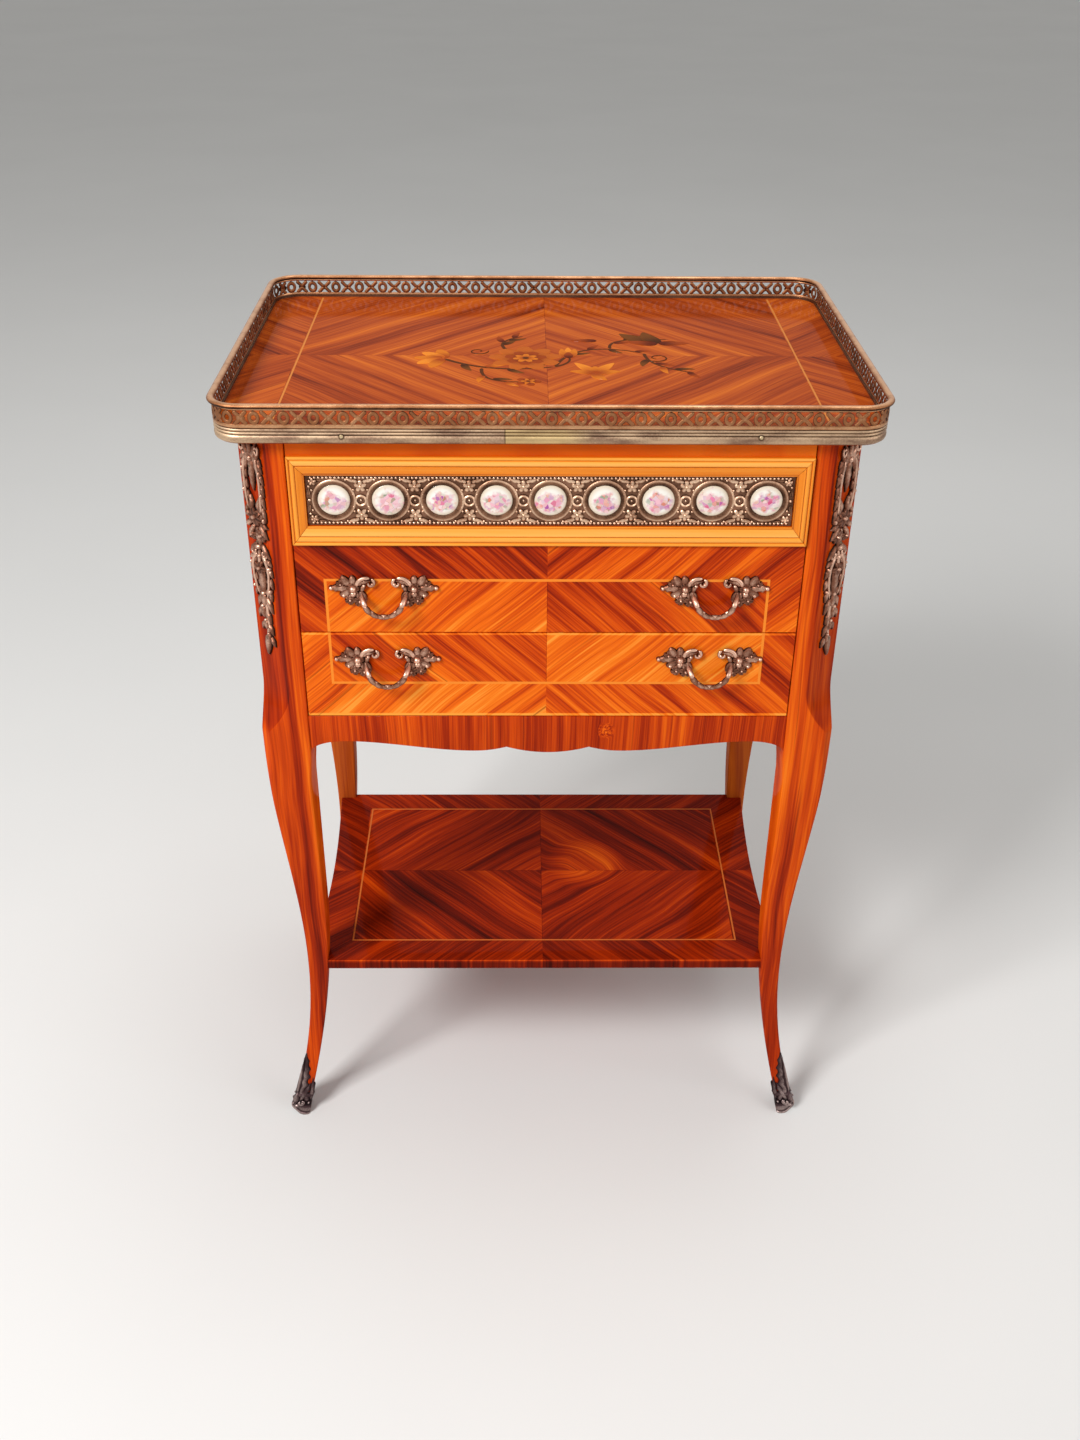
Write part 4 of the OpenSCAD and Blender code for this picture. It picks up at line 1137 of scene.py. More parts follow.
def eased_slab(outline: Array, low: float, high: float, edge: float, steps: int = 3) -> Shell:
    """Board with rounded edges.

    The outline moves inwards along its mitre normals by edge times (1 - sin) while the height moves by edge
    times (1 - cos), which gives quarter rounds, and flat faces close both ends.

    Args:
        outline: u, v points, anticlockwise.
        low: height of the lower face.
        high: height of the upper face.
        edge: radius of the edges.
        steps: faces round each edge.

    Returns:
        The board, in plate coordinates.
    """
    ahead = np.roll(outline, -1, 0) - outline
    ahead /= np.linalg.norm(ahead, axis=1, keepdims=True)
    normal = np.stack([ahead[:, 1], -ahead[:, 0]], -1)
    before = np.roll(normal, 1, 0)
    mitre = (normal + before) / (1 + np.sum(normal * before, 1, keepdims=True))
    turn = np.linspace(0, np.pi / 2, steps + 1)
    inset = edge * (1 - np.concatenate([np.sin(turn), np.sin(turn[::-1])]))
    rise = edge * (1 - np.cos(turn))
    height = np.concatenate([low + rise, (high - rise)[::-1]])
    flat = outline[None] - mitre[None] * inset[:, None, None]
    tall = np.broadcast_to(height[:, None, None], (*flat.shape[:2], 1))
    return capped(np.concatenate([flat, tall], -1))


def make_piece(
    name: str,
    shell: Shell,
    material: Material,
    slot: Slot,
    replaces: Sequence[str] = (),
    body: Body = Body.CARCASS,
) -> None:
    """Puts a shell into the scene as one piece.

    Args:
        name: the piece's name.
        shell: its surface in millimetres.
        material: its finish.
        slot: the record's slot for its finish; not used.
        replaces: CAD nodes that it stands for.
        body: what it moves with.
    """
    mesh = bpy.data.meshes.new(name)
    faces = [corners for group in shell.faces for corners in group.tolist()]
    mesh.from_pydata((shell.points * MM).tolist(), [], faces)
    mesh.polygons.foreach_set("use_smooth", np.ones(len(faces), bool))
    mesh.set_sharp_from_angle(angle=math.radians(SHARP_ANGLE))
    mesh.attributes.new("crest", "FLOAT", "POINT").data.foreach_set("value", shell.crest.astype(np.float32))
    grain = mesh.attributes.new("grain", "FLOAT_VECTOR", "POINT")
    grain.data.foreach_set("vector", (shell.grain * MM).astype(np.float32).reshape(-1))
    mesh.materials.append(material)
    piece = bpy.data.objects.new(name, mesh)
    bpy.context.scene.collection.objects.link(piece)
    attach(piece, body.value)
    if replaces:
        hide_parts(*replaces)
    LOG.info("%s: %d faces on %s", name, len(faces), body.value)


# The table


@dataclass
class CornerLeg:
    """Post and cabriole leg in one, sawn alike from the front and from the side.

    Offsets are measured from the post's faces; heights are from the floor.
    """

    half_w: float = 240.0
    half_d: float = 159.25
    post: float = 39.0
    forward: float = 4.0
    foot_z: float = 2.0
    case_h: float = 703.5
    knee_z: float = 445.03
    cant_run: float = 38.0
    cant_w: float = 25.0
    knee_chamfer: float = 7.0
    chamfer: float = 1.5
    chamfer_run: float = 80.0
    knee_out: float = 1.5
    waist_z: float = 175.0
    waist_in: float = 15.0
    toe_out: float = 11.0
    ankle: float = 15.0
    inner_step: float = 2.5
    step_drop: float = 20.0
    step_run: float = 40.0
    bend_z: float = 250.0
    edge: float = 1.6
    hoof_z: float = 20.0
    hoof_run: float = 12.0
    hoof_cut: float = 8.5
    hoof_edge: float = 7.0
    cut_growth: float = 0.59

    def outer(self, z: Array) -> Array:
        """Offset of the outer arris: smooth steps from post to waist, then a power of 2.2 out to the toe.

        Args:
            z: heights.

        Returns:
            The offsets.
        """
        post = self.knee_out * (1 - ease((z - self.knee_z) / self.cant_run))
        swing = (z - self.waist_z) / (self.knee_z - self.waist_z)
        calf = -self.waist_in + (self.knee_out + self.waist_in) * ease(swing)
        toe = -self.waist_in + (self.toe_out + self.waist_in) * np.clip(1 - z / self.waist_z, 0, 1) ** 2.2
        return np.where(z >= self.knee_z, post, np.where(z >= self.waist_z, calf, toe))

    def inner(self, z: Array) -> Array:
        """Offset of the inner edge: one smooth step under the apron, then a power of 2.1 out to the toe.

        Args:
            z: heights.

        Returns:
            The offsets.
        """
        step_z = self.knee_z - self.step_drop - self.step_run
        step = self.inner_step * (1 - ease((z - step_z) / self.step_run))
        reach = self.post + self.toe_out - self.ankle - self.inner_step
        return step + reach * np.clip(1 - z / self.bend_z, 0, 1) ** 2.1

    def cant(self, z: Array) -> Array:
        """Flat cut off the arris: full on the post, a parabola down to the knee, a narrow chamfer below.

        Args:
            z: heights.

        Returns:
            What the cut takes off either face.
        """
        share = 1 - np.clip(1 - (z - self.knee_z) / self.cant_run, 0, 1) ** 2
        rising = self.knee_chamfer + (self.cant_w - self.knee_chamfer) * share
        share = ease((z - (self.knee_z - self.chamfer_run)) / self.chamfer_run)
        low = self.chamfer + (self.knee_chamfer - self.chamfer) * share
        return np.where(z >= self.knee_z, rising, low)

    def sections(self, z: Array, grow: Array, edge: float) -> Array:
        """Rings of the leg at heights z for the corner with positive x and y.

        A ring is a square with one corner cut off. Each corner is rounded by a parabola between points that
        lie edge before and after it. Below hoof_z the cut and the rounding grow, which makes a hoof.

        Args:
            z: heights.
            grow: how far each ring stands outside the wood.
            edge: rounding of the corners above the hoof.

        Returns:
            Rings by points by 3.
        """
        hoof = 1 - ease((z - (self.hoof_z - self.hoof_run)) / self.hoof_run)
        low_x = self.half_w - self.post + self.inner(z) - grow
        low_y = self.half_d - self.post + self.inner(z) - grow
        high_x = self.half_w + self.outer(z) + grow
        high_y = self.half_d + self.outer(z) + grow
        cut = self.cant(z) + self.cut_growth * grow + self.hoof_cut * hoof
        xs = np.stack([low_x, high_x, high_x, high_x - cut, low_x], 1)
        ys = np.stack([low_y, low_y, high_y - cut, high_y, high_y], 1)
        corners = np.stack([xs, ys], -1)
        ahead = np.roll(corners, -1, 1) - corners
        span = np.linalg.norm(ahead, axis=2, keepdims=True)
        ahead = ahead / span
        near = (edge + self.hoof_edge * hoof)[:, None, None]
        near = np.minimum(near, 0.45 * np.minimum(span, np.roll(span, 1, 1)))
        start = corners - np.roll(ahead, 1, 1) * near
        end = corners + ahead * near
        s = np.linspace(0, 1, 5)[None, None, :, None]
        start, corners, end = (points[:, :, None] for points in (start, corners, end))
        arcs = (1 - s) ** 2 * start + 2 * s * (1 - s) * corners + s**2 * end
        rings = arcs.reshape(len(z), -1, 2)
        height = np.broadcast_to(z[:, None, None], (len(z), rings.shape[1], 1))
        return np.concatenate([rings, height], -1)

    def at_corner(self, points: Array, side: Side, end: End) -> Array:
        """Moves points from the corner with positive x and y to another corner of the case.

        Args:
            points: x, y, z rows, or a grid of them.
            side: left or right.
            end: front or back.

        Returns:
            The moved points.
        """
        moved = points * np.array([side.value, end.value, 1.0])
        moved[..., 1] -= self.forward
        return moved

    def on_arris(self, shell: Shell, side: Side, end: End) -> Shell:
        """Wraps a plate shell round the outer arris: v is height, u runs round the corner, w stands out.

        Up to the chamfer's edge u runs across the chamfer. What is left of it, d, runs along the face, and
        the direction of w turns from the chamfer's normal to the face's over the first 3 mm of d.

        Args:
            shell: the shell on its plate.
            side: left or right leg.
            end: front or back leg.

        Returns:
            The shell on the leg.
        """
        u, z, w = shell.points.T
        root = math.sqrt(0.5)
        cut = self.cant(z)
        flat = np.clip(u, -cut * root, cut * root)
        d = np.abs(u - flat)
        share = ease(d / 3)
        skew = 1 - share
        to_x = np.where(u > 0, 1.0, skew)
        to_y = np.where(u < 0, 1.0, skew)
        size = np.hypot(to_x, to_y)
        reach = self.outer(z) - cut / 2
        x = self.half_w + reach + flat * root - d * (u < 0) + w * to_x / size
        y = self.half_d + reach - flat * root - d * (u > 0) + w * to_y / size
        points = self.at_corner(np.stack([x, y, z], -1), side, end)
        return Shell(points, shell.faces, shell.crest, shell.grain).outward()

    def build(self, side: Side, end: End, finish: Material) -> None:
        """Makes one leg: rings from foot to top, closer together at the knee.

        Args:
            side: left or right.
            end: front or back.
            finish: its veneer.
        """
        calf = np.concatenate([[self.foot_z, 6.0, 10.0, 13.0, 16.0], np.linspace(20.0, self.knee_z - 30, 42)])
        knee = np.linspace(self.knee_z - 26, self.knee_z + self.cant_run + 2, 30)
        z = np.concatenate([calf, knee, [560.0, 640.0, self.case_h]])
        rings = self.at_corner(self.sections(z, np.zeros_like(z), self.edge), side, end)
        # crest marks the canted face above the knee, where the veneer paints shade.
        crest = np.zeros(rings.shape[:2])
        crest[:, 12:18] = ease((z - self.knee_z + 4) / 12)[:, None]
        shell = capped(rings, crest)
        name = corner_name(side, end)
        make_piece(f"cabriole_leg_{name}", shell, finish, Slot.VENEER, [f"leg_{name}"])


@dataclass
class Sabot:
    """Cast shoe on a toe: a cup with beaded rims, a tall leaf up the arris, and side leaves."""

    leg: CornerLeg
    wall: float = 2.5
    leaf_h: float = 67.0

    def cup(self, side: Side, end: End) -> Shell:
        """The cup: the leg's rings grown by a moulded profile, rounded to a hoof towards the floor.

        Args:
            side: left or right.
            end: front or back.

        Returns:
            The cup.
        """
        z = np.array([0, 0.5, 1.6, 2.2, 2.8, 4.5, 7, 9.5, 11, 12, 14, 16.5, 18, 19, 20.4, 21.4, 22])
        grow = [2.2, 2.55, 2.5, 1.9, 2.1, 2.5, 2.3, 1.6, 1.2, 1.3, 1.3, 1.3, 1.6, 2.1, 2.1, 1.7, 0.9]
        grow = np.array(grow)
        rings = self.leg.sections(z, grow * self.wall / 2.55, 2.4)
        crest = np.broadcast_to(((grow - 1.0) / 1.5)[:, None] * 0.9, rings.shape[:2])
        return capped(self.leg.at_corner(rings, side, end), crest)

    def ornament(self) -> Shell:
        """Leaves and scrolls in plate coordinates, u round the corner and v the height.

        Returns:
            The ornament.
        """
        parts = [
            leaf((0, 12), 90, self.leaf_h - 13, 19, 2.3, lobes=6, base=0.1, cols=16, blunt=0.9, rib=0.4),
            leaf((0, 20), 90, 42, 4.6, 3.0, base=0.6, rib=-0.2),
            leaf((0, 10), 90, 13, 7, 3.6, base=0.8, blunt=0.7),
        ]
        for s in (-1, 1):
            parts += [
                leaf((s * 3, 13), 90 - s * 26, 21, 8, 2.2, bend=s * 14, base=0.4, lobes=3),
                leaf((s * 14, 14), 90 + s * 4, 25, 6, 2.2, bend=s * 6, base=0.2, lobes=3),
                leaf((s * 11, 13), 90 + s * 20, 11, 5, 2.4, bend=s * 26, base=0.4),
                volute(s * 6.4, 12.2, 3.0, 1.2, 90 + s * 60, s * 1.1, 1.8),
                bead(s * 6.4, 12.2, 1.6, 3.2, 0.8),
                bead(s * 2.6, 9.4, 1.9, 3.2, 0.4),
                bead(s * 12.6, 12.4, 1.3, 2.4, 0.6),
            ]
        return joined(parts)

    def build(self, side: Side, end: End, finish: Material) -> None:
        """Makes one sabot.

        Args:
            side: left or right.
            end: front or back.
            finish: its bronze.
        """
        shell = joined([self.cup(side, end), self.leg.on_arris(self.ornament(), side, end)])
        name = corner_name(side, end)
        make_piece(f"sabot_cast_{name}", shell, finish, Slot.BRONZE, [f"sabot_{name}"])


@dataclass
class Aprons:
    """The four aprons under the case, the front one with a shaped lower edge."""

    top_z: float = 459.53
    depth: float = 25.0
    drop: float = 11.0
    cusp_x: float = 35.0
    cusp_h: float = 5.5
    lobe_x: float = 62.0
    bracket: float = 29.0
    thick: float = 18.0
    half_x: float = 201.0
    half_y: float = 120.25
    face_x: float = 238.0
    face_front: float = 163.25
    face_back: float = 153.25
    forward: float = 4.0

    def lobed_edge(self, x: Array, half: float) -> Array:
        """Lower edge of the front apron: a parabola up to the cusps, then lobes that ease to the flat.

        Args:
            x: distances from the middle.
            half: half the apron's length.

        Returns:
            Heights of the edge.
        """
        low = self.top_z - self.depth - self.drop
        middle = low + self.cusp_h * (x / self.cusp_x) ** 2
        rise = (self.lobe_x - x) / (self.lobe_x - self.cusp_x)
        inner = low + 1.5 + (self.cusp_h - 1.5) * rise**2
        outer = low + 1.5 + (self.drop - 1.5) * ease((x - self.lobe_x) / (half - self.bracket - self.lobe_x))
        edge = np.where(x <= self.cusp_x, middle, np.where(x <= self.lobe_x, inner, outer))
        return self.with_bracket(edge, x, half)

    def plain_edge(self, x: Array, half: float) -> Array:
        """Lower edge of the other aprons: nearly level, with quarter rounds at the legs.

        Args:
            x: distances from the middle.
            half: half the apron's length.

        Returns:
            Heights of the edge.
        """
        flat = self.top_z - self.depth
        edge = flat - 3 * (1 - ease(x / (half - self.bracket)))
        return self.with_bracket(edge, x, half)

    def with_bracket(self, edge: Array, x: Array, half: float) -> Array:
        """Adds the quarter round beside the leg: the drop times 1 less the root of 1 less the square.

        Args:
            edge: heights of the edge.
            x: distances from the middle.
            half: half the apron's length.

        Returns:
            Heights with the quarter round.
        """
        share = np.clip((x - half + self.bracket) / self.bracket, 0, 1)
        round_edge = self.top_z - self.depth - self.drop * (1 - np.sqrt(1 - share**2))
        return np.where(x > half - self.bracket, round_edge, edge)

    def board(self, half: float, lobed: bool) -> Shell:
        """One apron in plate coordinates, its face at w = 0.

        Args:
            half: half its length between the legs.
            lobed: whether its lower edge has the front's shape.

        Returns:
            The board.
        """
        turn = np.linspace(0, np.pi / 2, 12)[1:]
        bend = half - self.bracket
        x = np.concatenate([np.linspace(0, bend, 48), bend + self.bracket * np.sin(turn)])
        x = np.unique(np.append(x, (self.cusp_x, self.lobe_x))) if lobed else x
        edge = self.lobed_edge(x, half) if lobed else self.plain_edge(x, half)
        lower = np.concatenate([np.stack([-x[:0:-1], edge[:0:-1]], -1), np.stack([x, edge], -1)])
        upper = np.array([[half, self.top_z], [-half, self.top_z]])
        return eased_slab(np.concatenate([lower, upper]), -self.thick, 0.0, 0.6)

    def build(self, front: Material, others: Material) -> None:
        """Makes the four boards.

        Args:
            front: veneer of the front apron.
            others: veneer of the rest.
        """
        up = (0, 0, 1)
        plates = (
            ("front", self.half_x, True, (0, -self.face_front, 0), (1, 0, 0), (0, -1, 0), front),
            ("back", self.half_x, False, (0, self.face_back, 0), (-1, 0, 0), (0, 1, 0), others),
            ("left", self.half_y, False, (-self.face_x, -self.forward, 0), (0, -1, 0), (-1, 0, 0), others),
            ("right", self.half_y, False, (self.face_x, -self.forward, 0), (0, 1, 0), (1, 0, 0), others),
        )
        for name, half, lobed, origin, across, out, finish in plates:
            shell = self.board(half, lobed).on_plate(origin, across, up, out)
            make_piece(f"shaped_apron_{name}", shell, finish, Slot.VENEER, [f"apron_{name}"])


@dataclass
class CornerMount:
    """Leafy cast mount on a canted front corner: crest, two strands round an opening, flowers and a garland.

    Plate coordinates: u across the cant, v up from the mount's top, so that it is negative, and w out. Below
    the strands u is stretched by 35 %, and everywhere a hyperbolic tangent draws it in to the reach.
    """

    centre: tuple[float, float] = (227.5, -150.75)
    top_z: float = 701.0
    reach: float = 17.0
    height: float = 4.7

    def crest(self) -> list[Shell]:
        """Leaves that fan upwards, scrolls beside them, and a drop below.

        Returns:
            Their shells.
        """
        parts = [
            leaf((0, -19), 90 + a, length, 8.4, 3.8, bend=-a * 0.3, lift=0.8, lobes=3)
            for a, length in ((0, 18.5), (-36, 20), (36, 20), (-72, 16), (72, 16))
        ]
        parts += [leaf((0, -14), 270, 31, 10.0, 4.2, lobes=4), bead(0, -17, 3.4, 4.7)]
        for s in (-1, 1):
            parts += [
                volute(s * 10.2, -8.5, 4.6, 1.7, 90 - s * 30, -s * 1.15, 2.2),
                leaf((s * 8, -16), 90 - s * 105, 11, 6.4, 3.6, bend=-s * 35, lobes=2),
                leaf((s * 3, -15), 270 + s * 34, 17, 6.6, 3.8, bend=-s * 26, lobes=2),
            ]
        return parts

    def foliage(self, path: Array, size: float, side: int) -> list[Shell]:
        """Leaves in pairs along a strand, the outer one of each pair longer, with a bud at every other pair.

        Args:
            path: the strand's points.
            size: the leaves' length, of which the outer ones have 1.1 and the others 0.8.
            side: 1 on the right, -1 on the left.

        Returns:
            The leaves and buds.
        """
        parts: list[Shell] = []
        for k, i in enumerate(range(2, len(path) - 2, 3)):
            ahead = path[i + 1] - path[i]
            heading = math.degrees(math.atan2(ahead[1], ahead[0]))
            u, v = path[i, :2]
            parts.append(leaf((u, v), heading + side * 42, size * 1.1, size * 0.6, 3.6, -side * 24, lobes=2))
            parts.append(leaf((u, v), heading - side * 34, size * 0.8, size * 0.46, 3.2, side * 30))
            if k % 2:
                parts.append(bead(u + side * 2.4, v, size * 0.22, 4.6))
        return parts

    def strands(self) -> list[Shell]:
        """Two leafy strands that leave the wood open between them.

        Returns:
            Their shells.
        """
        parts: list[Shell] = []
        for s in (-1, 1):
            ends = ((s * 6, -14, 2.0), (s * 15.5, -34, 2.4), (s * 7, -62, 2.0))
            parts += [strand(*ends, 2.2, 0.8), *self.foliage(bowed(*ends, 17), 11.5, s)]
            parts.append(leaf((s * 7, -48), 270 - s * 30, 15, 7.0, 3.8, bend=s * 30, lobes=2))
        return parts

    def flowers(self) -> list[Shell]:
        """A dense spray of open flowers and leaves where the strands meet.

        Returns:
            Their shells.
        """
        parts = [flower(1.5, -66, 8.2, 6, 4.2, turn=12), flower(-3.6, -80, 6.4, 5, 4.0, turn=40)]
        parts += [flower(5.4, -82, 5.2, 5, 3.8, turn=20), bead(-9.6, -66, 2.6, 4.4), bead(0.6, -91, 3.0, 4.7)]
        for angle, length in ((200, 12), (228, 15), (262, 20), (298, 17), (330, 13), (160, 11), (20, 11)):
            root = (1.5 + 4 * math.cos(math.radians(angle)), -68 + 6 * math.sin(math.radians(angle)))
            parts.append(leaf(root, angle, length, 6.8, 3.6, bend=(angle - 270) * 0.25, lobes=2))
        return parts

    def garland(self) -> list[Shell]:
        """A bulge of curled leaves, then bellflowers that get smaller down a swaying stem.

        Returns:
            Their shells.
        """
        parts: list[Shell] = [flower(1.4, -110, 6.8, 5, 4.4, turn=30), bead(0.5, -99, 2.6, 4.4)]
        parts.append(leaf((0.5, -106), 270, 34, 10.5, 4.0, lobes=4))
        for s in (-1, 1):
            ends = ((s * 1.5, -97, 2.2), (s * 14.5, -106, 2.6), (s * 3, -136, 2.2))
            parts += [strand(*ends, 2.0, 0.6), *self.foliage(bowed(*ends, 14), 9.6, s)]
            parts.append(leaf((s * 2, -88), 270 + s * 28, 16, 7.0, 3.8, bend=s * 34, lobes=2))
            parts.append(volute(s * 6.2, -96, 3.2, 1.4, 90 + s * 40, s * 1.1, 2.2))
        for i in range(4):
            v, shift, size = -133 - i * 12.0, 1.8 * math.sin(i * 1.6), 1 - i * 0.12
            for s in (-1, 1):
                parts.append(leaf((shift, v + s), 270 + s * 40, 17 * size, 7.6 * size, 3.8, -s * 30, lobes=2))
            parts.append(leaf((shift, v + 2), 270, 14 * size, 6.2 * size, 4.4, blunt=0.6))
            parts.append(bead(shift, v + 1.5, 2.3 * size, 4.7))
        sway = 1.8 * np.sin(np.linspace(0, 6.4, 24))
        stem = np.stack([sway, np.linspace(-92, -174, 24), np.full(24, 1.4)], -1)
        parts.append(rod(stem, np.full(24, 1.6), 0.9))
        parts.append(leaf((0.6, -169), 270, 22, 6.6, 3.6, bend=10))
        return parts

    def build(self, side: Side, finish: Material) -> None:
        """Makes one mount on its cant.

        Args:
            side: left or right.
            finish: its bronze.
        """
        s, root = side.value, math.sqrt(0.5)
        shell = joined(self.crest() + self.strands() + self.flowers() + self.garland())
        wider = shell.points[:, 0] * (1 + 0.35 * ease((-50 - shell.points[:, 1]) / 20))
        shell.points[:, 0] = self.reach * np.tanh(wider / self.reach)
        shell.points[:, 2] = np.minimum(shell.points[:, 2], self.height)
        origin = (s * self.centre[0], self.centre[1], self.top_z)
        placed = shell.on_plate(origin, (s * root, root, 0), (0, 0, 1), (s * root, -root, 0))
        name = f"corner_mount_{side.name.lower()}"
        make_piece(f"cast_{name}", placed, finish, Slot.BRONZE, [name])


@dataclass
class Pull:
    """Cast pull: two leafy ends with rosettes and inward scrolls, and a leafy U grip clear of the drawer."""

    front_y: float = -163.25
    centre_x: float = 131.5
    grip_r: float = 15.8
    bar: float = 2.0
    stand_off: float = 12.0

    def leafy_end(self, s: int) -> list[Shell]:
        """One end: leaves radiate from the rosette, among flowers and beads.

        Args:
            s: 1 on the right, -1 on the left.

        Returns:
            Its shells.
        """

        def turned(angle: float) -> float:
            """Mirrors a direction on the left end."""
            return angle if s > 0 else 180 - angle

        def blade(u: float, v: float, angle: float, bend: float, *size: float, **more: float) -> Shell:
            """A leaf placed for the right end; its size is its length, width and height."""
            return leaf((s * u, v), turned(angle), *size, s * bend, **more)

        u, v = 24.2, 4.6
        return [
            blade(u + 3, v, -4, 10, 16, 8.4, 3.6, lobes=3, blunt=0.7),
            blade(u + 2, v + 2, 40, 26, 11, 7.0, 3.4, blunt=0.6, rows=12),
            blade(u + 2, v - 2, -38, 22, 10.5, 6.4, 3.2, blunt=0.6, rows=12),
            blade(u, v + 2, 92, -14, 9.0, 6.4, 3.6, blunt=0.6),
            blade(u - 3, v + 2, 130, 24, 7.5, 5.4, 3.6, blunt=0.6),
            blade(u - 2, v - 3, -110, -18, 13, 7.0, 3.2, blunt=0.7, lobes=2),
            blade(u + 1, v - 3, -72, -10, 13, 6.6, 3.2, blunt=0.7, lobes=2),
            blade(u - 4, v - 3, -140, 20, 9.5, 6.0, 3.4, blunt=0.7),
            blade(u - 3, v + 3, 152, 26, 13.5, 5.6, 3.6, lobes=2),
            flower(s * (u - 5.2), v - 11.0, 6.2, 5, 4.4, turn=90),
            flower(s * (u + 2.6), v - 10.2, 5.2, 5, 3.8, turn=60),
            flower(s * u, v, 5.8, 6, 3.8, base=1.0),
            bead(s * u, 0, 3.4, 4.9, 0.3),
            bead(s * u, v, 3.6, 6.2, 1.0),
            flower(s * (u + 9.6), v + 3.6, 4.2, 5, 3.4, turn=20),
            bead(s * (u + 17.4), v - 0.2, 2.2, 3.4),
            bead(s * (u + 7.6), v - 6.6, 2.2, 3.6),
            volute(s * 10.6, 9.0, 4.2, 1.5, turned(100), s * 0.8, 2.4),
            strand((s * 22, 5.5, 2.4), (s * 19.5, 15.4, 2.8), (s * 9.8, 13.2, 2.4), 2.1, 0.7),
            bead(s * 8.6, 8.4, 1.9, 4.0, 0.8),
            bead(s * 15.5, 7.0, 2.0, 3.8, 0.8),
            blade(15.5, 6.6, -60, -20, 7.0, 4.2, 3.0),
        ]

    def grip(self) -> list[Shell]:
        """The bar: a half circle that rises smoothly from the plate to its stand off, with leaves over it.

        Returns:
            Its shells.
        """
        t = np.linspace(-1, 1, 45)
        angle = -np.pi / 2 + t * np.radians(97)
        rise = ease((1 - np.abs(t)) / 0.3)
        reach = self.grip_r + 2.4 * (1 - rise)
        height = 1.6 + (self.stand_off - 1.6) * rise
        path = np.stack([reach * np.cos(angle), reach * np.sin(angle), height], -1)
        swell = 1 + 0.16 * np.cos(t * np.pi * 5)
        parts = [rod(path, self.bar * swell * np.clip((1 - np.abs(t)) * 8, 0.5, 1), 0.7, 14)]
        over = self.stand_off + self.bar * 0.1
        for s in (-1, 1):
            for place, length, wide in ((-20, 12, 5.2), (-46, 11, 4.6), (-70, 8, 3.8)):
                a = math.radians(place)
                tip = place - 90 if s > 0 else 270 - place
                root = (s * self.grip_r * math.cos(a), self.grip_r * math.sin(a))
                bend = -s * math.degrees(length / self.grip_r) * 0.9
                parts.append(leaf(root, tip, length, wide, 2.2, bend=bend, base=over, rib=0.3))
        parts += [bead(x, -self.grip_r, r, 2.4, over - 0.6) for x, r in ((0, 2.0), (-3.2, 1.3), (3.2, 1.3))]
        return parts

    def build(self, drawer: Body, side: Side, height: float, finish: Material) -> None:
        """Makes one pull on a drawer front.

        Args:
            drawer: the drawer that it moves with.
            side: left or right.
            height: z at which v is 0.
            finish: its bronze.
        """
        shell = joined(self.leafy_end(-1) + self.leafy_end(1) + self.grip())
        placed = shell.on_plate((side.value * self.centre_x, self.front_y, height), *FRONT_PLATE)
        name = f"{drawer.value.split('_')[0]}_handle_{side.name.lower()}"
        make_piece(f"cast_{name}", placed, finish, Slot.BRONZE, [name], drawer)


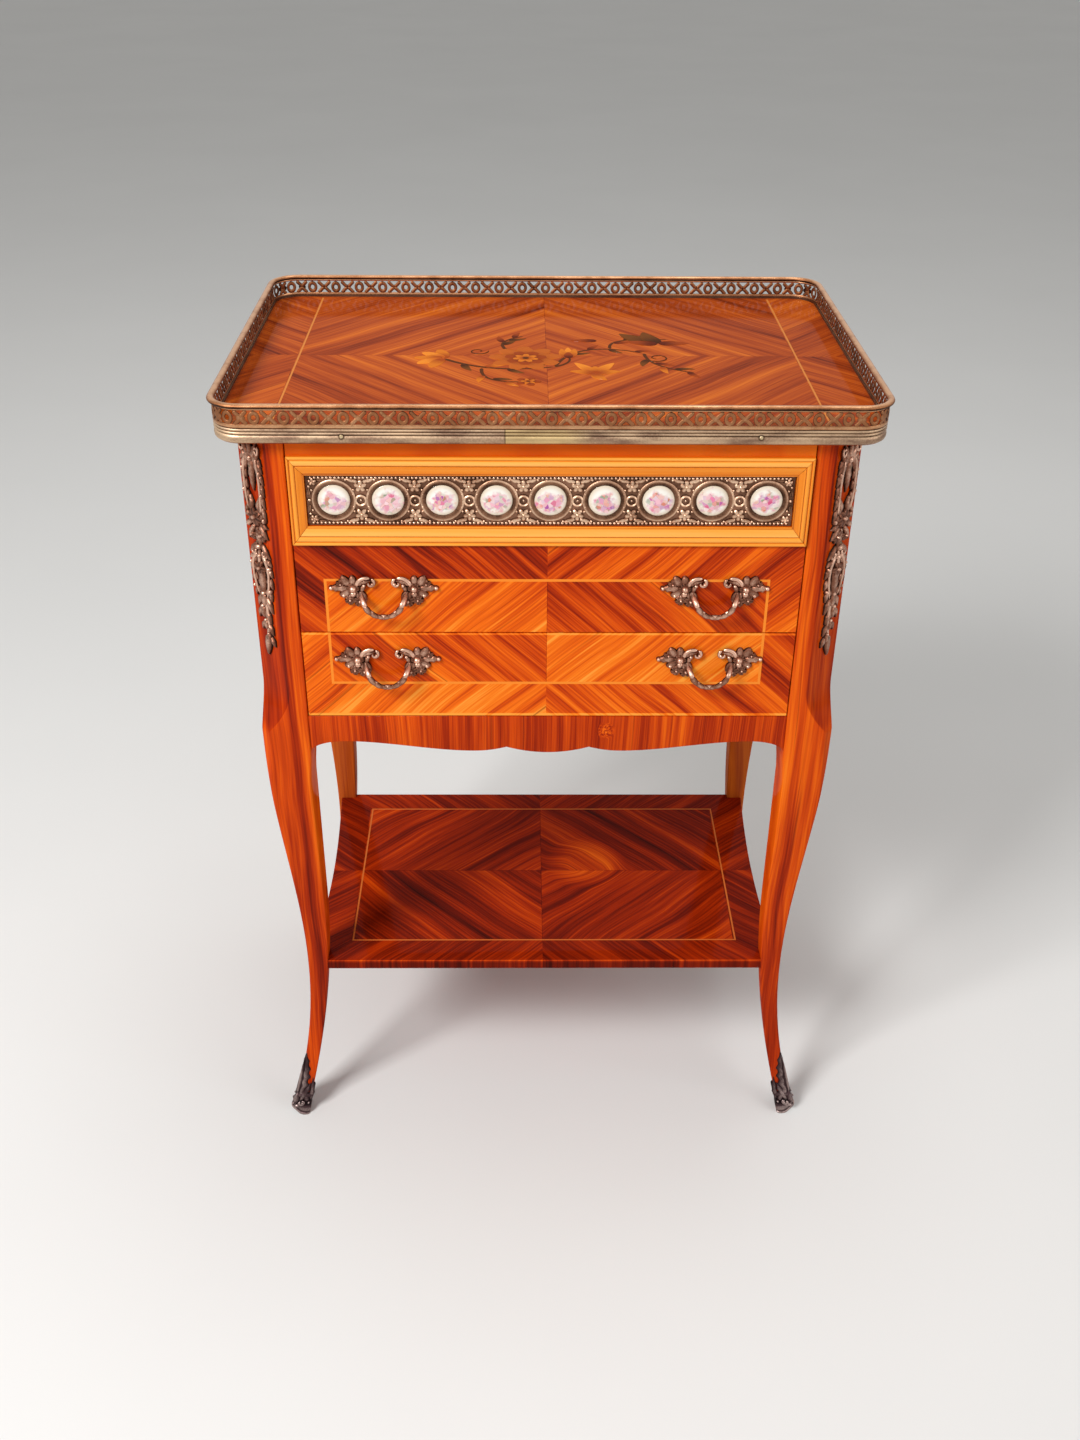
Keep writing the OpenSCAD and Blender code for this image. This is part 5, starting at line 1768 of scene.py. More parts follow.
@dataclass
class MouldingFrame:
    """Four mitred lengths round the frieze: outer rib, quirk, broad inner rib and a bevel."""

    half_x: float = 200.0
    low_z: float = 617.0
    high_z: float = 690.1
    level: float = 15.5
    upright: float = 12.5
    proud: float = 3.0
    joint: float = 0.2
    face_y: float = -163.25

    def profile(self) -> tuple[Array, Array]:
        """Section: share of the width inwards, and share of the height, as a closed loop from the back.

        Returns:
            The loop, and the crest at each of its points: painted highlights on the ribs, painted shade in
            the quirks.
        """
        turn = np.linspace(0, np.pi, 9)
        outer = np.stack([0.08 - 0.08 * np.cos(turn), 0.66 + 0.3 * np.sin(turn)], -1)
        broad = np.stack([0.34 - 0.13 * np.cos(turn), 0.7 + 0.3 * np.sin(turn)], -1)
        bevel = np.array([[0.5, 0.66], [0.53, 0.84], [0.56, 0.82], [0.88, 0.26], [0.92, 0.3], [1.0, 0.24]])
        loop = np.concatenate([[[0.0, -0.4]], outer, broad, bevel, [[1.0, -0.4]]])
        rib = 0.35 + 0.65 * np.sin(turn) ** 0.5
        crest = np.concatenate([[0.3], 0.8 * rib, rib, [0.0, 0.8, 0.7, 0.55, 0.1, 0.5], [0.3]])
        return loop, crest

    def length(self, half: float, width: float, cut: float, rib: float, bevel: float) -> Shell:
        """One length along u, from v = 0 outside to v = width inside.

        Args:
            half: half its length outside.
            width: its width.
            cut: what each mitre takes off by the inside.
            rib: scale of the painted highlight on the ribs.
            bevel: the same for the bevel.

        Returns:
            The length.
        """
        loop, crest = self.profile()
        crest = crest * np.where(loop[:, 0] > 0.5, bevel, rib)
        stops = np.linspace(-1, 1, 3)[:, None]
        u = stops * (half - cut * loop[None, :, 0] - self.joint)
        v = np.broadcast_to(loop[None, :, 0] * width, u.shape)
        w = np.broadcast_to(loop[None, :, 1] * self.proud, u.shape)
        return capped(np.stack([u, v, w], -1), np.broadcast_to(crest, u.shape), np.stack([u, v, w], -1))

    def build(self, finish: Material) -> None:
        """Makes the frame.

        Args:
            finish: its wood.
        """
        half_z = (self.high_z - self.low_z) / 2
        mid_z = (self.high_z + self.low_z) / 2
        y, out = self.face_y, (0, -1, 0)
        # Painted light by length: the lower bevel is painted bright, and the top bevel and the uprights are
        # painted darker as shade.
        low = self.length(self.half_x, self.level, self.upright, 0.85, 1.4)
        high = self.length(self.half_x, self.level, self.upright, 1.0, 0.62)
        upright = self.length(half_z, self.upright, self.level, 0.6, 0.55)
        shell = joined(
            [
                low.on_plate((0, y, self.low_z), (1, 0, 0), (0, 0, 1), out),
                high.on_plate((0, y, self.high_z), (-1, 0, 0), (0, 0, -1), out),
                upright.on_plate((-self.half_x, y, mid_z), (0, 0, -1), (1, 0, 0), out),
                upright.on_plate((self.half_x, y, mid_z), (0, 0, 1), (-1, 0, 0), out),
            ]
        )
        make_piece("mitred_frame", shell, finish, Slot.HONEY, ["frame_moulding"], Body.TOP_DRAWER)


@dataclass
class Frieze:
    """Cast ornament on the strip between the plaques: rings, beaded borders, rosettes and palmettes."""

    count: int = 9
    half_x: float = 186.9
    centre_z: float = 653.56
    half_h: float = 20.3
    strip_y: float = -161.25
    seat_y: float = -159.25
    plaque_r: float = 12.6
    plaque_t: float = 2.2
    crown: float = 1.2
    bead_step: float = 3.1
    bead_v: float = 18.6

    @property
    def pitch(self) -> float:
        """Distance between plaques."""
        return 2 * self.half_x / self.count

    @property
    def seats(self) -> Array:
        """Centres of the plaques along the strip."""
        return in_row(self.count, self.pitch)

    def ring(self) -> Shell:
        """Ring round one plaque: a bright rim outside, and a lower, darker slope towards the plaque.

        Returns:
            The ring.
        """
        turn = around(48)[:, None]
        phi = around(16)[None, :]
        reach = 14.9 + 2.4 * np.cos(phi)
        swell = 1 + 0.35 * np.cos(2 * phi) + 0.3 * np.cos(phi)
        w = np.where(np.sin(phi) > 0, 1.25 * swell * np.sin(phi), 0.2 * np.sin(phi)) + 0 * turn
        points = np.stack([reach * np.cos(turn), reach * np.sin(turn), w], -1)
        return ring(points, np.clip(w / 1.25 - 0.25 * (np.cos(phi) < 0.3), 0.3, 0.85))

    def divider(self) -> Shell:
        """Ornament between two plaques.

        Returns:
            The ornament.
        """
        small = {"base": 0.1, "rib": 0.0, "rows": 6, "cols": 8}
        parts = [hoop(3.9, 3.9, 1.25 / 3.9, 1.8), bead(0, 0, 1.1, 1.2, cols=8)]
        for s in (-1, 1):
            parts += [
                flower(0, s * 11.6, 5.4, 5, 1.9, base=0.1, turn=s * 90, rib=0.0),
                leaf((s * 1.8, s * 14.4), s * 90 - 46, 6.6, 3.6, 1.8, -50, **small),
                leaf((-s * 1.8, s * 14.4), s * 90 + 46, 6.6, 3.6, 1.8, 50, **small),
                leaf((3.4, s * 15.8), 6 * s, 8.4, 3.8, 1.9, s * 22, **small),
                leaf((-3.4, s * 15.8), 180 - 6 * s, 8.4, 3.8, 1.9, -s * 22, **small),
            ]
            for t in (-1, 1):
                parts += [
                    bead(t * 5.4, s * 8.8, 1.15, 1.8, cols=8),
                    bead(t * 5.8, s * 5.2, 0.85, 1.4, cols=8),
                    bead(t * 10.9, s * 17.0, 1.3, 1.8, cols=8),
                    leaf((t * 15.5, s * 17.6), 90 - t * 90, 6.0, 2.0, 1.5, base=0.1, rows=5, cols=8),
                ]
        return joined(parts)

    def half_divider(self, s: int) -> Shell:
        """Ornament at the strip's end, where half a divider is left.

        Args:
            s: 1 at the right end, -1 at the left.

        Returns:
            The ornament.
        """
        small = {"base": 0.1, "rows": 6, "cols": 8}
        inwards = 90 + s * 90
        parts = [bead(-s * 1.6, 0, 1.5, 1.5)]
        for t in (-1, 1):
            parts += [
                leaf((-s * 1.0, t * 15.6), inwards + t * s * 8, 9.0, 3.4, 1.6, **small),
                leaf((-s * 1.0, t * 13.0), inwards - t * s * 35, 5.6, 2.8, 1.5, **small),
                leaf((-s * 1.4, t * 3.4), t * 90, 6.6, 2.8, 1.5, **small),
                flower(-s * 4.4, t * 15.2, 3.6, 5, 1.8, base=0.1, turn=t * 90, rib=0.0),
                leaf((-s * 7.4, t * 17.2), inwards, 7.0, 2.8, 1.6, **small),
                bead(-s * 1.6, t * 11.2, 1.3, 1.5),
                bead(-s * 3.6, t * 8.2, 1.1, 1.5, cols=8),
            ]
        return joined(parts)

    def borders(self) -> Shell:
        """Rows of small beads and a fillet along the top and the bottom.

        Returns:
            The borders.
        """
        row = in_row(int((2 * self.half_x - 3) / self.bead_step), self.bead_step)
        rows = np.concatenate([row + (0, s * self.bead_v, 0) for s in (-1, 1)])
        parts = [scattered(bead(0, 0, 1.4, 1.7, rows=4, cols=8), rows)]
        for s in (-1, 1):
            low, high = sorted((s * 19.85, s * self.half_h))
            outline = np.array([[-1, low], [1, low], [1, high], [-1, high]]) * (self.half_x - 0.2, 1)
            fillet = eased_slab(outline, -0.2, 0.9, 0.2, 2)
            fillet.crest[:] = 0.55
            parts.append(fillet)
        return joined(parts)

    def build(self, finish: Material) -> None:
        """Makes the ornament on the strip's face.

        Args:
            finish: its bronze.
        """
        parts = [
            scattered(self.ring(), self.seats),
            scattered(self.divider(), self.seats[:-1] + (self.pitch / 2, 0, 0)),
        ]
        for s in (1, -1):
            parts.append(scattered(self.half_divider(s), np.array([[s * (self.half_x - 0.6), 0, 0]])))
        parts.append(self.borders())
        placed = joined(parts).on_plate((0, self.strip_y, self.centre_z), *FRONT_PLATE)
        make_piece("frieze_ornament", placed, finish, Slot.BRONZE, body=Body.TOP_DRAWER)

    def build_plaques(self, finish: Material) -> None:
        """Makes the domed plaques: a round rim, then a crown that falls off with the square of the radius.

        Args:
            finish: their glaze.
        """
        r, t = self.plaque_r, self.plaque_t
        rim = [[r - 0.4, 0], [r, 0.4], [r, t - 0.5], [r - 0.25, t - 0.1], [r - 0.8, t + 0.12]]
        dome = [[share * r, t + self.crown * (1 - share**2)] for share in (0.8, 0.6, 0.4, 0.2)]
        reach, height = np.array(rim + dome).T[..., None]
        turn = around(48)[None, :]
        points = np.stack([reach * np.cos(turn), reach * np.sin(turn), height + 0 * turn], -1)
        top = np.array([0, 0, t + self.crown])
        disc = poled(points, np.zeros(3), top, np.zeros(points.shape[:2]))
        placed = scattered(disc, self.seats).on_plate((0, self.seat_y, self.centre_z), *FRONT_PLATE)
        make_piece("painted_plaques", placed, finish, Slot.PORCELAIN, ["plaques"], Body.TOP_DRAWER)


@dataclass
class Gallery:
    """Reeded band, pierced strip and beaded rail round the top.

    Sections are carried round the wooden top's outline: a point is the outline plus its normal times the
    section's first number, at the height of its second.
    """

    half_x: float = 250.5
    half_y: float = 173.25
    corner: float = 21.0
    band_low: float = 704.0
    shoulder: float = 716.0
    lip: float = 717.5
    rail_top: float = 735.0
    pitch: float = 21.6
    strip_out: float = 1.9

    @property
    def middle(self) -> float:
        """Height of the motifs' middle."""
        return (self.shoulder + self.rail_top - 4) / 2 + 0.5

    @property
    def centres(self) -> Array:
        """Centres of the four quarter turns."""
        return CORNERS * (self.half_x - self.corner, self.half_y - self.corner)

    def outline(self, steps: int = 10, runs: int = 24) -> tuple[Array, Array]:
        """Outline of the wooden top, a rounded rectangle.

        Args:
            steps: points round each corner.
            runs: points from corner to corner.

        Returns:
            Its points and outward normals.
        """
        angle = np.linspace(0, np.pi / 2, steps)[None, :] + np.arange(4)[:, None] * np.pi / 2
        normal = np.stack([np.cos(angle), np.sin(angle)], -1)
        arcs = self.centres[:, None] + self.corner * normal
        after = np.roll(arcs[:, 0], -1, 0)
        t = np.linspace(0, 1, runs + 2)[1:-1][None, :, None]
        straight = arcs[:, -1:, :] * (1 - t) + after[:, None, :] * t
        facing = np.repeat(normal[:, -1:], runs, 1)
        points = np.concatenate([arcs, straight], 1).reshape(-1, 2)
        return points, np.concatenate([normal, facing], 1).reshape(-1, 2)

    def carried(self, section: Array, crest: Array) -> Shell:
        """A closed section carried round the outline.

        Args:
            section: how far outwards and how high its points are.
            crest: the crest at each of them.

        Returns:
            The shell.
        """
        points, normal = self.outline()
        flat = points[:, None] + normal[:, None] * section[None, :, :1]
        tall = np.broadcast_to(section[None, :, 1:], (*flat.shape[:2], 1))
        return ring(np.concatenate([flat, tall], -1), np.broadcast_to(crest, flat.shape[:2]))

    def band_section(self) -> Array:
        """The band: a broad round lower member, two reeds, and a lip; each reed is half a circle.

        Returns:
            The section's points.
        """
        turn = np.linspace(-np.pi / 2, np.pi / 2, 7)
        low, top = self.band_low, self.lip
        member = np.stack([0.9 + 1.6 * np.cos(turn), low + 3.4 + 3.2 * np.sin(turn)], -1)
        reeds = [np.stack([1.35 + 1.1 * np.cos(turn), low + z + 1.05 * np.sin(turn)], -1) for z in (8, 10.5)]
        lip = np.array([[1.3, self.shoulder - 0.1], [1.3, top - 0.3], [1.0, top], [0.05, top], [0.05, low]])
        return np.concatenate([[[0.6, low]], member, *reeds, lip])

    def rail_section(self) -> Array:
        """The rail: an oval bead."""
        turn = around(16)
        return np.stack([2.7 + 2.8 * np.cos(turn), self.rail_top - 2 + 2 * np.sin(turn)], -1)

    def fillet_section(self, z: float, half: float) -> Array:
        """A small rounded bar at the strip's upper or lower edge."""
        turn = around(10)
        return np.stack([self.strip_out + 0.62 * np.cos(turn), z + half * np.sin(turn)], -1)

    def motif(self) -> Shell:
        """One repeat of the piercing on a plate: a ring between two links, and half a cross each side.

        Returns:
            The motif.
        """
        parts = [hoop(3.1, 3.7, 0.45, 0.6)]
        for s in (-1, 1):
            link = bowed((0, s * 3.2, 0), (0, s * 4.4, 0), (0, s * 5.8, 0), 5)
            parts.append(rod(link, np.full(5, 1.5), 0.4, 8))
            for t in (-1, 1):
                arm = bowed((s * 5.0, t * 5.6, 0), (s * 7.4, t * 3.0, 0), (s * 10.9, t * -0.4, 0), 8)
                parts.append(rod(arm, np.full(8, 1.6), 0.4, 8))
            parts.append(bead(s * 10.8, 0, 2.4, 0.75, rows=4, cols=8))
        whole = joined(parts)
        w = whole.points[:, 2]
        # Crest follows the relief's height on both faces for the wear, and the outward face gets a painted
        # sheen that makes it lighter than the inner face.
        whole.crest = np.clip(0.1 + 0.75 * np.abs(w) + 0.12 * (w > 0), 0, 1)
        return whole

    def corner_motifs(self) -> Shell:
        """Rings and links on the four quarter turns.

        Returns:
            The motifs.
        """
        parts = []
        reach = self.corner + self.strip_out
        for quarter, (x, y) in enumerate(self.centres):
            for share in (0.25, 0.75):
                a = (quarter + share) * math.pi / 2
                out = (math.cos(a), math.sin(a), 0.0)
                origin = (x + reach * out[0], y + reach * out[1], self.middle)
                bent = self.motif()
                bent.points[:, 2] -= bent.points[:, 0] ** 2 / (2 * reach)
                parts.append(bent.on_plate(origin, (-out[1], out[0], 0.0), (0, 0, 1), out))
        return joined(parts)

    def strip(self) -> Shell:
        """The pierced strip: fillets round the top, and motifs at even steps along the four straight runs.

        Returns:
            The strip.
        """
        parts = [self.corner_motifs()]
        for z, half in ((self.shoulder + 1.6, 1.7), (self.rail_top - 4.4, 0.9)):
            section = self.fillet_section(z, half)
            parts.append(self.carried(section, np.abs(section[:, 0] - self.strip_out) / 0.62))
        long_run, short_run = self.half_x - self.corner, self.half_y - self.corner
        runs = (
            (long_run, self.half_y, (1, 0, 0), (0, -1, 0)),
            (long_run, self.half_y, (-1, 0, 0), (0, 1, 0)),
            (short_run, self.half_x, (0, 1, 0), (1, 0, 0)),
            (short_run, self.half_x, (0, -1, 0), (-1, 0, 0)),
        )
        for half, reach, across, out in runs:
            count = round(2 * half / self.pitch)
            run = scattered(self.motif(), in_row(count, 2 * half / count))
            origin = np.array(out) * (reach + self.strip_out) + (0, 0, self.middle)
            parts.append(run.on_plate(origin, across, (0, 0, 1), out))
        return joined(parts)

    def build(self, band: Material, bronze: Material) -> None:
        """Makes band, strip and rail.

        Args:
            band: finish of the band.
            bronze: finish of the strip and the rail.
        """
        section = self.band_section()
        shell = self.carried(section, np.clip((section[:, 0] - 1.3) / 0.9, 0, 1))
        make_piece("reeded_band", shell, band, Slot.BRASS, ["edge_band"])
        make_piece("pierced_gallery", self.strip(), bronze, Slot.BRONZE, ["gallery_strip"])
        section = self.rail_section()
        shell = self.carried(section, np.clip((section[:, 1] - self.rail_top + 3) / 3, 0, 1))
        make_piece("gallery_bead_rail", shell, bronze, Slot.BRONZE, ["gallery_rail"])


@dataclass
class Marquetry:
    """Floral spray let into the middle of the top: thin veneers of six colours, all but flush.

    Plate coordinates have their zero at the middle of the matched field.
    """

    centre: tuple[float, float] = (-3.0, 10.0)
    top_z: float = 715.5
    proud: float = 0.12
    parts: dict[str, list[Shell]] = field(default_factory=dict)

    def add(self, colour: str, shell: Shell) -> None:
        """Keeps a shape under its colour, cut off flat in the wood and 2 microns above the last one.

        Args:
            colour: name of its veneer.
            shell: the shape.
        """
        level = self.proud + 0.002 * sum(len(shapes) for shapes in self.parts.values())
        shell.points[:, 2] = np.clip(shell.points[:, 2], -0.3, level)
        self.parts.setdefault(colour, []).append(shell)

    def flat_leaf(
        self, colour: str, root: Numbers, angle: float, length: float, width: float, **more: float
    ) -> None:
        """A flat leaf whose crest counts from root to tip, for the sand shading.

        Args:
            colour: name of its veneer.
            root: u, v of its root.
            angle: its direction in degrees.
            length: its length.
            width: its greatest width.
            more: other values, as for leaf.
        """
        shape = leaf(root, angle, length, width, 4.0, base=-0.2, rib=0.0, rows=12, cols=14, **more)
        along = (shape.points[:, 0] - root[0]) ** 2 + (shape.points[:, 1] - root[1]) ** 2
        shape.crest = np.clip(np.sqrt(along) / length, 0, 1)
        self.add(colour, shape)

    def stem(self, start: Numbers, control: Numbers, end: Numbers, width: float) -> Array:
        """A bowed stem.

        Args:
            start: u, v of its root.
            control: the point that it is drawn towards.
            end: u, v of its tip.
            width: width at the root, twice that at the tip.

        Returns:
            Its points, for placing leaves.
        """
        path = bowed((*start, 0.0), (*control, 0.0), (*end, 0.0), 30)
        self.add("stem", rod(path, np.linspace(width, width * 0.5, 30) / 2, 1.0, 12))
        return path

    def leafy_stem(self, path: Array, first: int, every: int, size: float, colours: Sequence[str]) -> None:
        """Leaves in turn on either side of a stem, each at 50 degrees to it.

        Args:
            path: the stem's points.
            first: number of the point with the first leaf.
            every: points from leaf to leaf.
            size: length of the first leaf.
            colours: their veneers in turn.
        """
        for k, i in enumerate(range(first, len(path) - 2, every)):
            ahead = path[i + 1] - path[i]
            heading = math.degrees(math.atan2(ahead[1], ahead[0]))
            s = 1 if k % 2 else -1
            colour = colours[k % len(colours)]
            length = size * (1 - 0.035 * k)
            self.flat_leaf(colour, path[i], heading + s * 50, length, length * 0.36, bend=-s * 30)

    def bloom(self, place: Numbers, size: float, petals: int, outer: str, inner: str, turn: float) -> None:
        """An open flower in two rings of petals with a round eye.

        Args:
            place: u, v of the eye.
            size: length of the outer petals.
            petals: how many each ring has.
            outer, inner: veneers of the two rings.
            turn: direction of the first outer petal in degrees.
        """
        step = 360 / petals
        for k in range(petals):
            self.flat_leaf(outer, place, turn + step * k, size, size * 0.62, blunt=0.5)
        for k in range(petals):
            self.flat_leaf(inner, place, turn + step * (k + 0.5), size * 0.6, size * 0.34, blunt=0.6)
        self.add("stem", bead(*place, size * 0.17, 3.0, cols=14))

    def tendril(self, place: Numbers, size: float, start: float, turns: float) -> None:
        """A thin curl."""
        self.add("stem", volute(*place, size, 0.8, start, turns, 0.0))

    def compose(self) -> None:
        """The spray: a rose, a tulip, a lily and leafy stems with buds."""
        stems = (
            ((-84, -20), (-46, -58), (8, -40), 4.2, 6, 6, 20, ("leaf", "gold", "leaf")),
            ((8, -40), (26, 30), (84, -4), 3.4, 9, 6, 17, ("leaf", "rose")),
            ((84, -4), (84, -40), (122, -54), 3.2, 7, 5, 20, ("leaf", "rose", "gold")),
            ((8, -40), (24, -30), (20, -14), 3.0, None),
            ((-32, 4), (-44, 28), (-18, 42), 3.4, 9, 5, 19, ("leaf", "rose")),
            ((-52, -44), (-54, -80), (-20, -78), 3.2, 9, 7, 18, ("gold", "leaf")),
            ((56, 8), (52, 40), (108, 34), 3.0, 9, 7, 18, ("rose", "leaf")),
        )
        for start, control, end, width, first, *leaves in stems:
            path = self.stem(start, control, end, width)
            if leaves:
                self.leafy_stem(path, first, *leaves)
        for k in range(9):
            self.flat_leaf("blush", (-16, -18), 12 + 40 * k, 32, 17, blunt=0.55)
        self.bloom((-16, -18), 19, 7, "rose", "gold", 10)
        tulip = ((90, 30, "cream"), (68, 27, "gold"), (112, 27, "gold"), (90, 17, "rose"))
        for heading, length, colour in tulip:
            self.flat_leaf(colour, (20, -18), heading, length, 9, bend=(90 - heading) * 0.9)
        for heading, length in ((62, 32), (118, 32), (22, 22), (158, 22), (270, 20), (90, 18)):
            colour = "cream" if length > 25 else "gold"
            self.flat_leaf(colour, (41, -56), heading, length, 11, bend=(heading - 90) * 0.3)
        tuft = ((148, 44, "leaf"), (118, 36, "leaf"), (176, 30, "rose"), (12, 28, "rose"))
        for heading, length, colour in tuft:
            self.flat_leaf(colour, (98, 22), heading, length, length * 0.46, bend=-20)
        for k, heading in enumerate((92, 128, 164, 200, 236)):
            self.flat_leaf("cream" if k % 2 else "gold", (-84, -20), heading, 26, 12, blunt=0.7, bend=24)
        self.flat_leaf("rose", (46, 30), 178, 24, 9)
        self.bloom((-14, -77), 11, 5, "rose", "gold", 70)
        self.tendril((94, -16), 11, 200, 1.2)
        self.tendril((-56, 0), 9, 20, -1.2)

    def build(self) -> None:
        """Makes one piece for each colour."""
        finishes = {
            name: Inlay(f"inlay_{name}", colour, shade, shaded=name != "stem").material()
            for name, (colour, shade) in INLAY_COLOURS.items()
        }
        self.compose()
        origin = (*self.centre, self.top_z)
        for colour, shapes in self.parts.items():
            shell = joined(shapes).on_plate(origin, (1, 0, 0), (0, 1, 0), (0, 0, 1))
            make_piece(f"marquetry_{colour}", shell, finishes[colour], Slot.INLAY)


@dataclass
class Shelf:
    """Low shelf with hollow sides and rounded edges."""

    top_z: float = 177.0
    thick: float = 11.0
    front_y: float = -147.25
    back_y: float = 128.25
    half: float = 222.0
    hollow: float = 6.0
    line: float = 1.6
    string_x: float = 185.0
    string_y: float = 108.75
    string_mid: float = -9.5

    def build(self, finish: Material) -> None:
        """Makes the board: each side is a sine that is hollow halfway.

        Args:
            finish: its veneer.
        """
        t = np.linspace(0, 1, 30)
        y = self.front_y + (self.back_y - self.front_y) * t
        x = self.half - self.hollow * np.sin(np.pi * t)
        outline = np.concatenate([np.stack([x, y], -1), np.stack([-x, y], -1)[::-1]])
        board = eased_slab(outline, self.top_z - self.thick, self.top_z, 1.4, 4)
        make_piece("shelf_board", board.outward(), finish, Slot.DARK_WOOD, ["shelf_panel"])

    def build_stringing(self, finish: Material) -> None:
        """Makes the inlaid line: a flat section carried round the rectangle with mitred corners.

        Args:
            finish: its wood.
        """
        side = np.array([-0.5, 0.5, 0.5, -0.5]) * self.line
        height = self.top_z + np.array([-0.6, -0.6, 0.06, 0.06])
        flat = CORNERS[:, None] * (np.array([self.string_x, self.string_y]) + side[None, :, None])
        flat[..., 1] += self.string_mid
        points = np.concatenate([flat, np.broadcast_to(height[None, :, None], (4, 4, 1))], -1)
        make_piece("shelf_inlaid_line", ring(points), finish, Slot.INLAY, ["shelf_stringing"])


@dataclass
class Studio:
    """Camera, lamps, world and floor; position is in millimetres, lamps and floor are in metres."""

    position: tuple[float, float, float] = (-21.75, -1187.3, 1095.3)
    pitch: float = 31.97
    yaw: float = 0.84
    roll: float = 0.48
    lens: float = 35.95
    ambient: float = 0.42
    pale: Colour = (0.84, 0.835, 0.82)
    floor_half: float = 15.0
    floor_points: int = 7

    def camera(self) -> None:
        """Camera with the photograph's view; the image is 1080 by 1440."""
        data = bpy.data.cameras.new("view")
        data.sensor_fit = "VERTICAL"
        data.sensor_height = 36.0
        data.lens = self.lens
        data.clip_end = 60.0
        pitch, yaw, roll = (math.radians(a) for a in (self.pitch, self.yaw, self.roll))
        ahead = Vector((math.sin(yaw) * math.cos(pitch), math.cos(yaw) * math.cos(pitch), -math.sin(pitch)))
        level = Vector((math.cos(yaw), -math.sin(yaw), 0.0))
        above = level.cross(ahead)
        right = level * math.cos(roll) + above * math.sin(roll)
        up = above * math.cos(roll) - level * math.sin(roll)
        turn = Matrix((right, up, -ahead)).transposed().to_4x4()
        camera = bpy.data.objects.new("view", data)
        camera.matrix_world = Matrix.Translation(Vector(self.position) * MM) @ turn
        bpy.context.scene.collection.objects.link(camera)
        bpy.context.scene.camera = camera

    def lamp(self, name: str, place: Numbers, aim: Numbers, size: float, watts: float) -> None:
        """A square soft box.

        Args:
            name: the lamp's name.
            place: where it hangs, in metres.
            aim: what it faces.
            size: width of its face.
            watts: its power.
        """
        data = bpy.data.lights.new(name, "AREA")
        data.shape = "SQUARE"
        data.size = size
        data.energy = watts
        lamp = bpy.data.objects.new(name, data)
        lamp.location = place
        lamp.rotation_euler = (Vector(aim) - Vector(place)).to_track_quat("-Z", "Y").to_euler()
        bpy.context.scene.collection.objects.link(lamp)

    def world(self) -> None:
        """Pale world: shown at a strength of 1, and lighting the piece at the ambient strength."""
        sh = Shader("studio", world=True)
        kinds = ("Camera", "Glossy", "Transmission")
        rays = [sh.node("LightPath", output=f"Is {kind} Ray") for kind in kinds]
        inputs = {0: rays[0].largest(rays[1]).largest(rays[2])}
        for index, strength in ((1, self.ambient), (2, 1.0)):
            inputs[index] = sh.node("Background", inputs={0: (*self.pale, 1.0), 1: strength})
        mixed = sh.node("MixShader", inputs=inputs)
        bpy.context.scene.world = sh.closed(mixed, "OutputWorld")

    def floor(self) -> None:
        """Wide pale floor."""
        sh = Shader("pale_floor")
        cloud = sh.noise(sh.place(), 1.5, 3.0)
        colour = sh.mix(cloud, (0.76, 0.755, 0.74), (0.82, 0.815, 0.8))
        finish = sh.surface(colour, 0.75, Specular_IOR_Level=0.2)
        steps = np.linspace(-self.floor_half, self.floor_half, self.floor_points)
        x, y = np.meshgrid(steps, steps)
        points = np.stack([x, y, np.zeros_like(x)], -1).reshape(-1, 3)
        mesh = bpy.data.meshes.new("studio_floor")
        mesh.from_pydata(points.tolist(), [], grid_quads(*x.shape, False, False).tolist())
        mesh.materials.append(finish)
        floor = bpy.data.objects.new("studio_floor", mesh)
        bpy.context.scene.collection.objects.link(floor)

    def build(self) -> None:
        """Sets the studio up."""
        bpy.context.scene.view_settings.view_transform = "Standard"
        self.camera()
        self.world()
        self.floor()
        aim = (0.0, 0.0, 0.4)
        self.lamp("key", (-1.7, -1.75, 2.45), aim, 1.0, 84.0)
        self.lamp("fill", (2.2, -1.4, 1.4), aim, 1.6, 13.0)
        self.lamp("top", (0.3, 0.5, 3.4), aim, 1.4, 20.0)


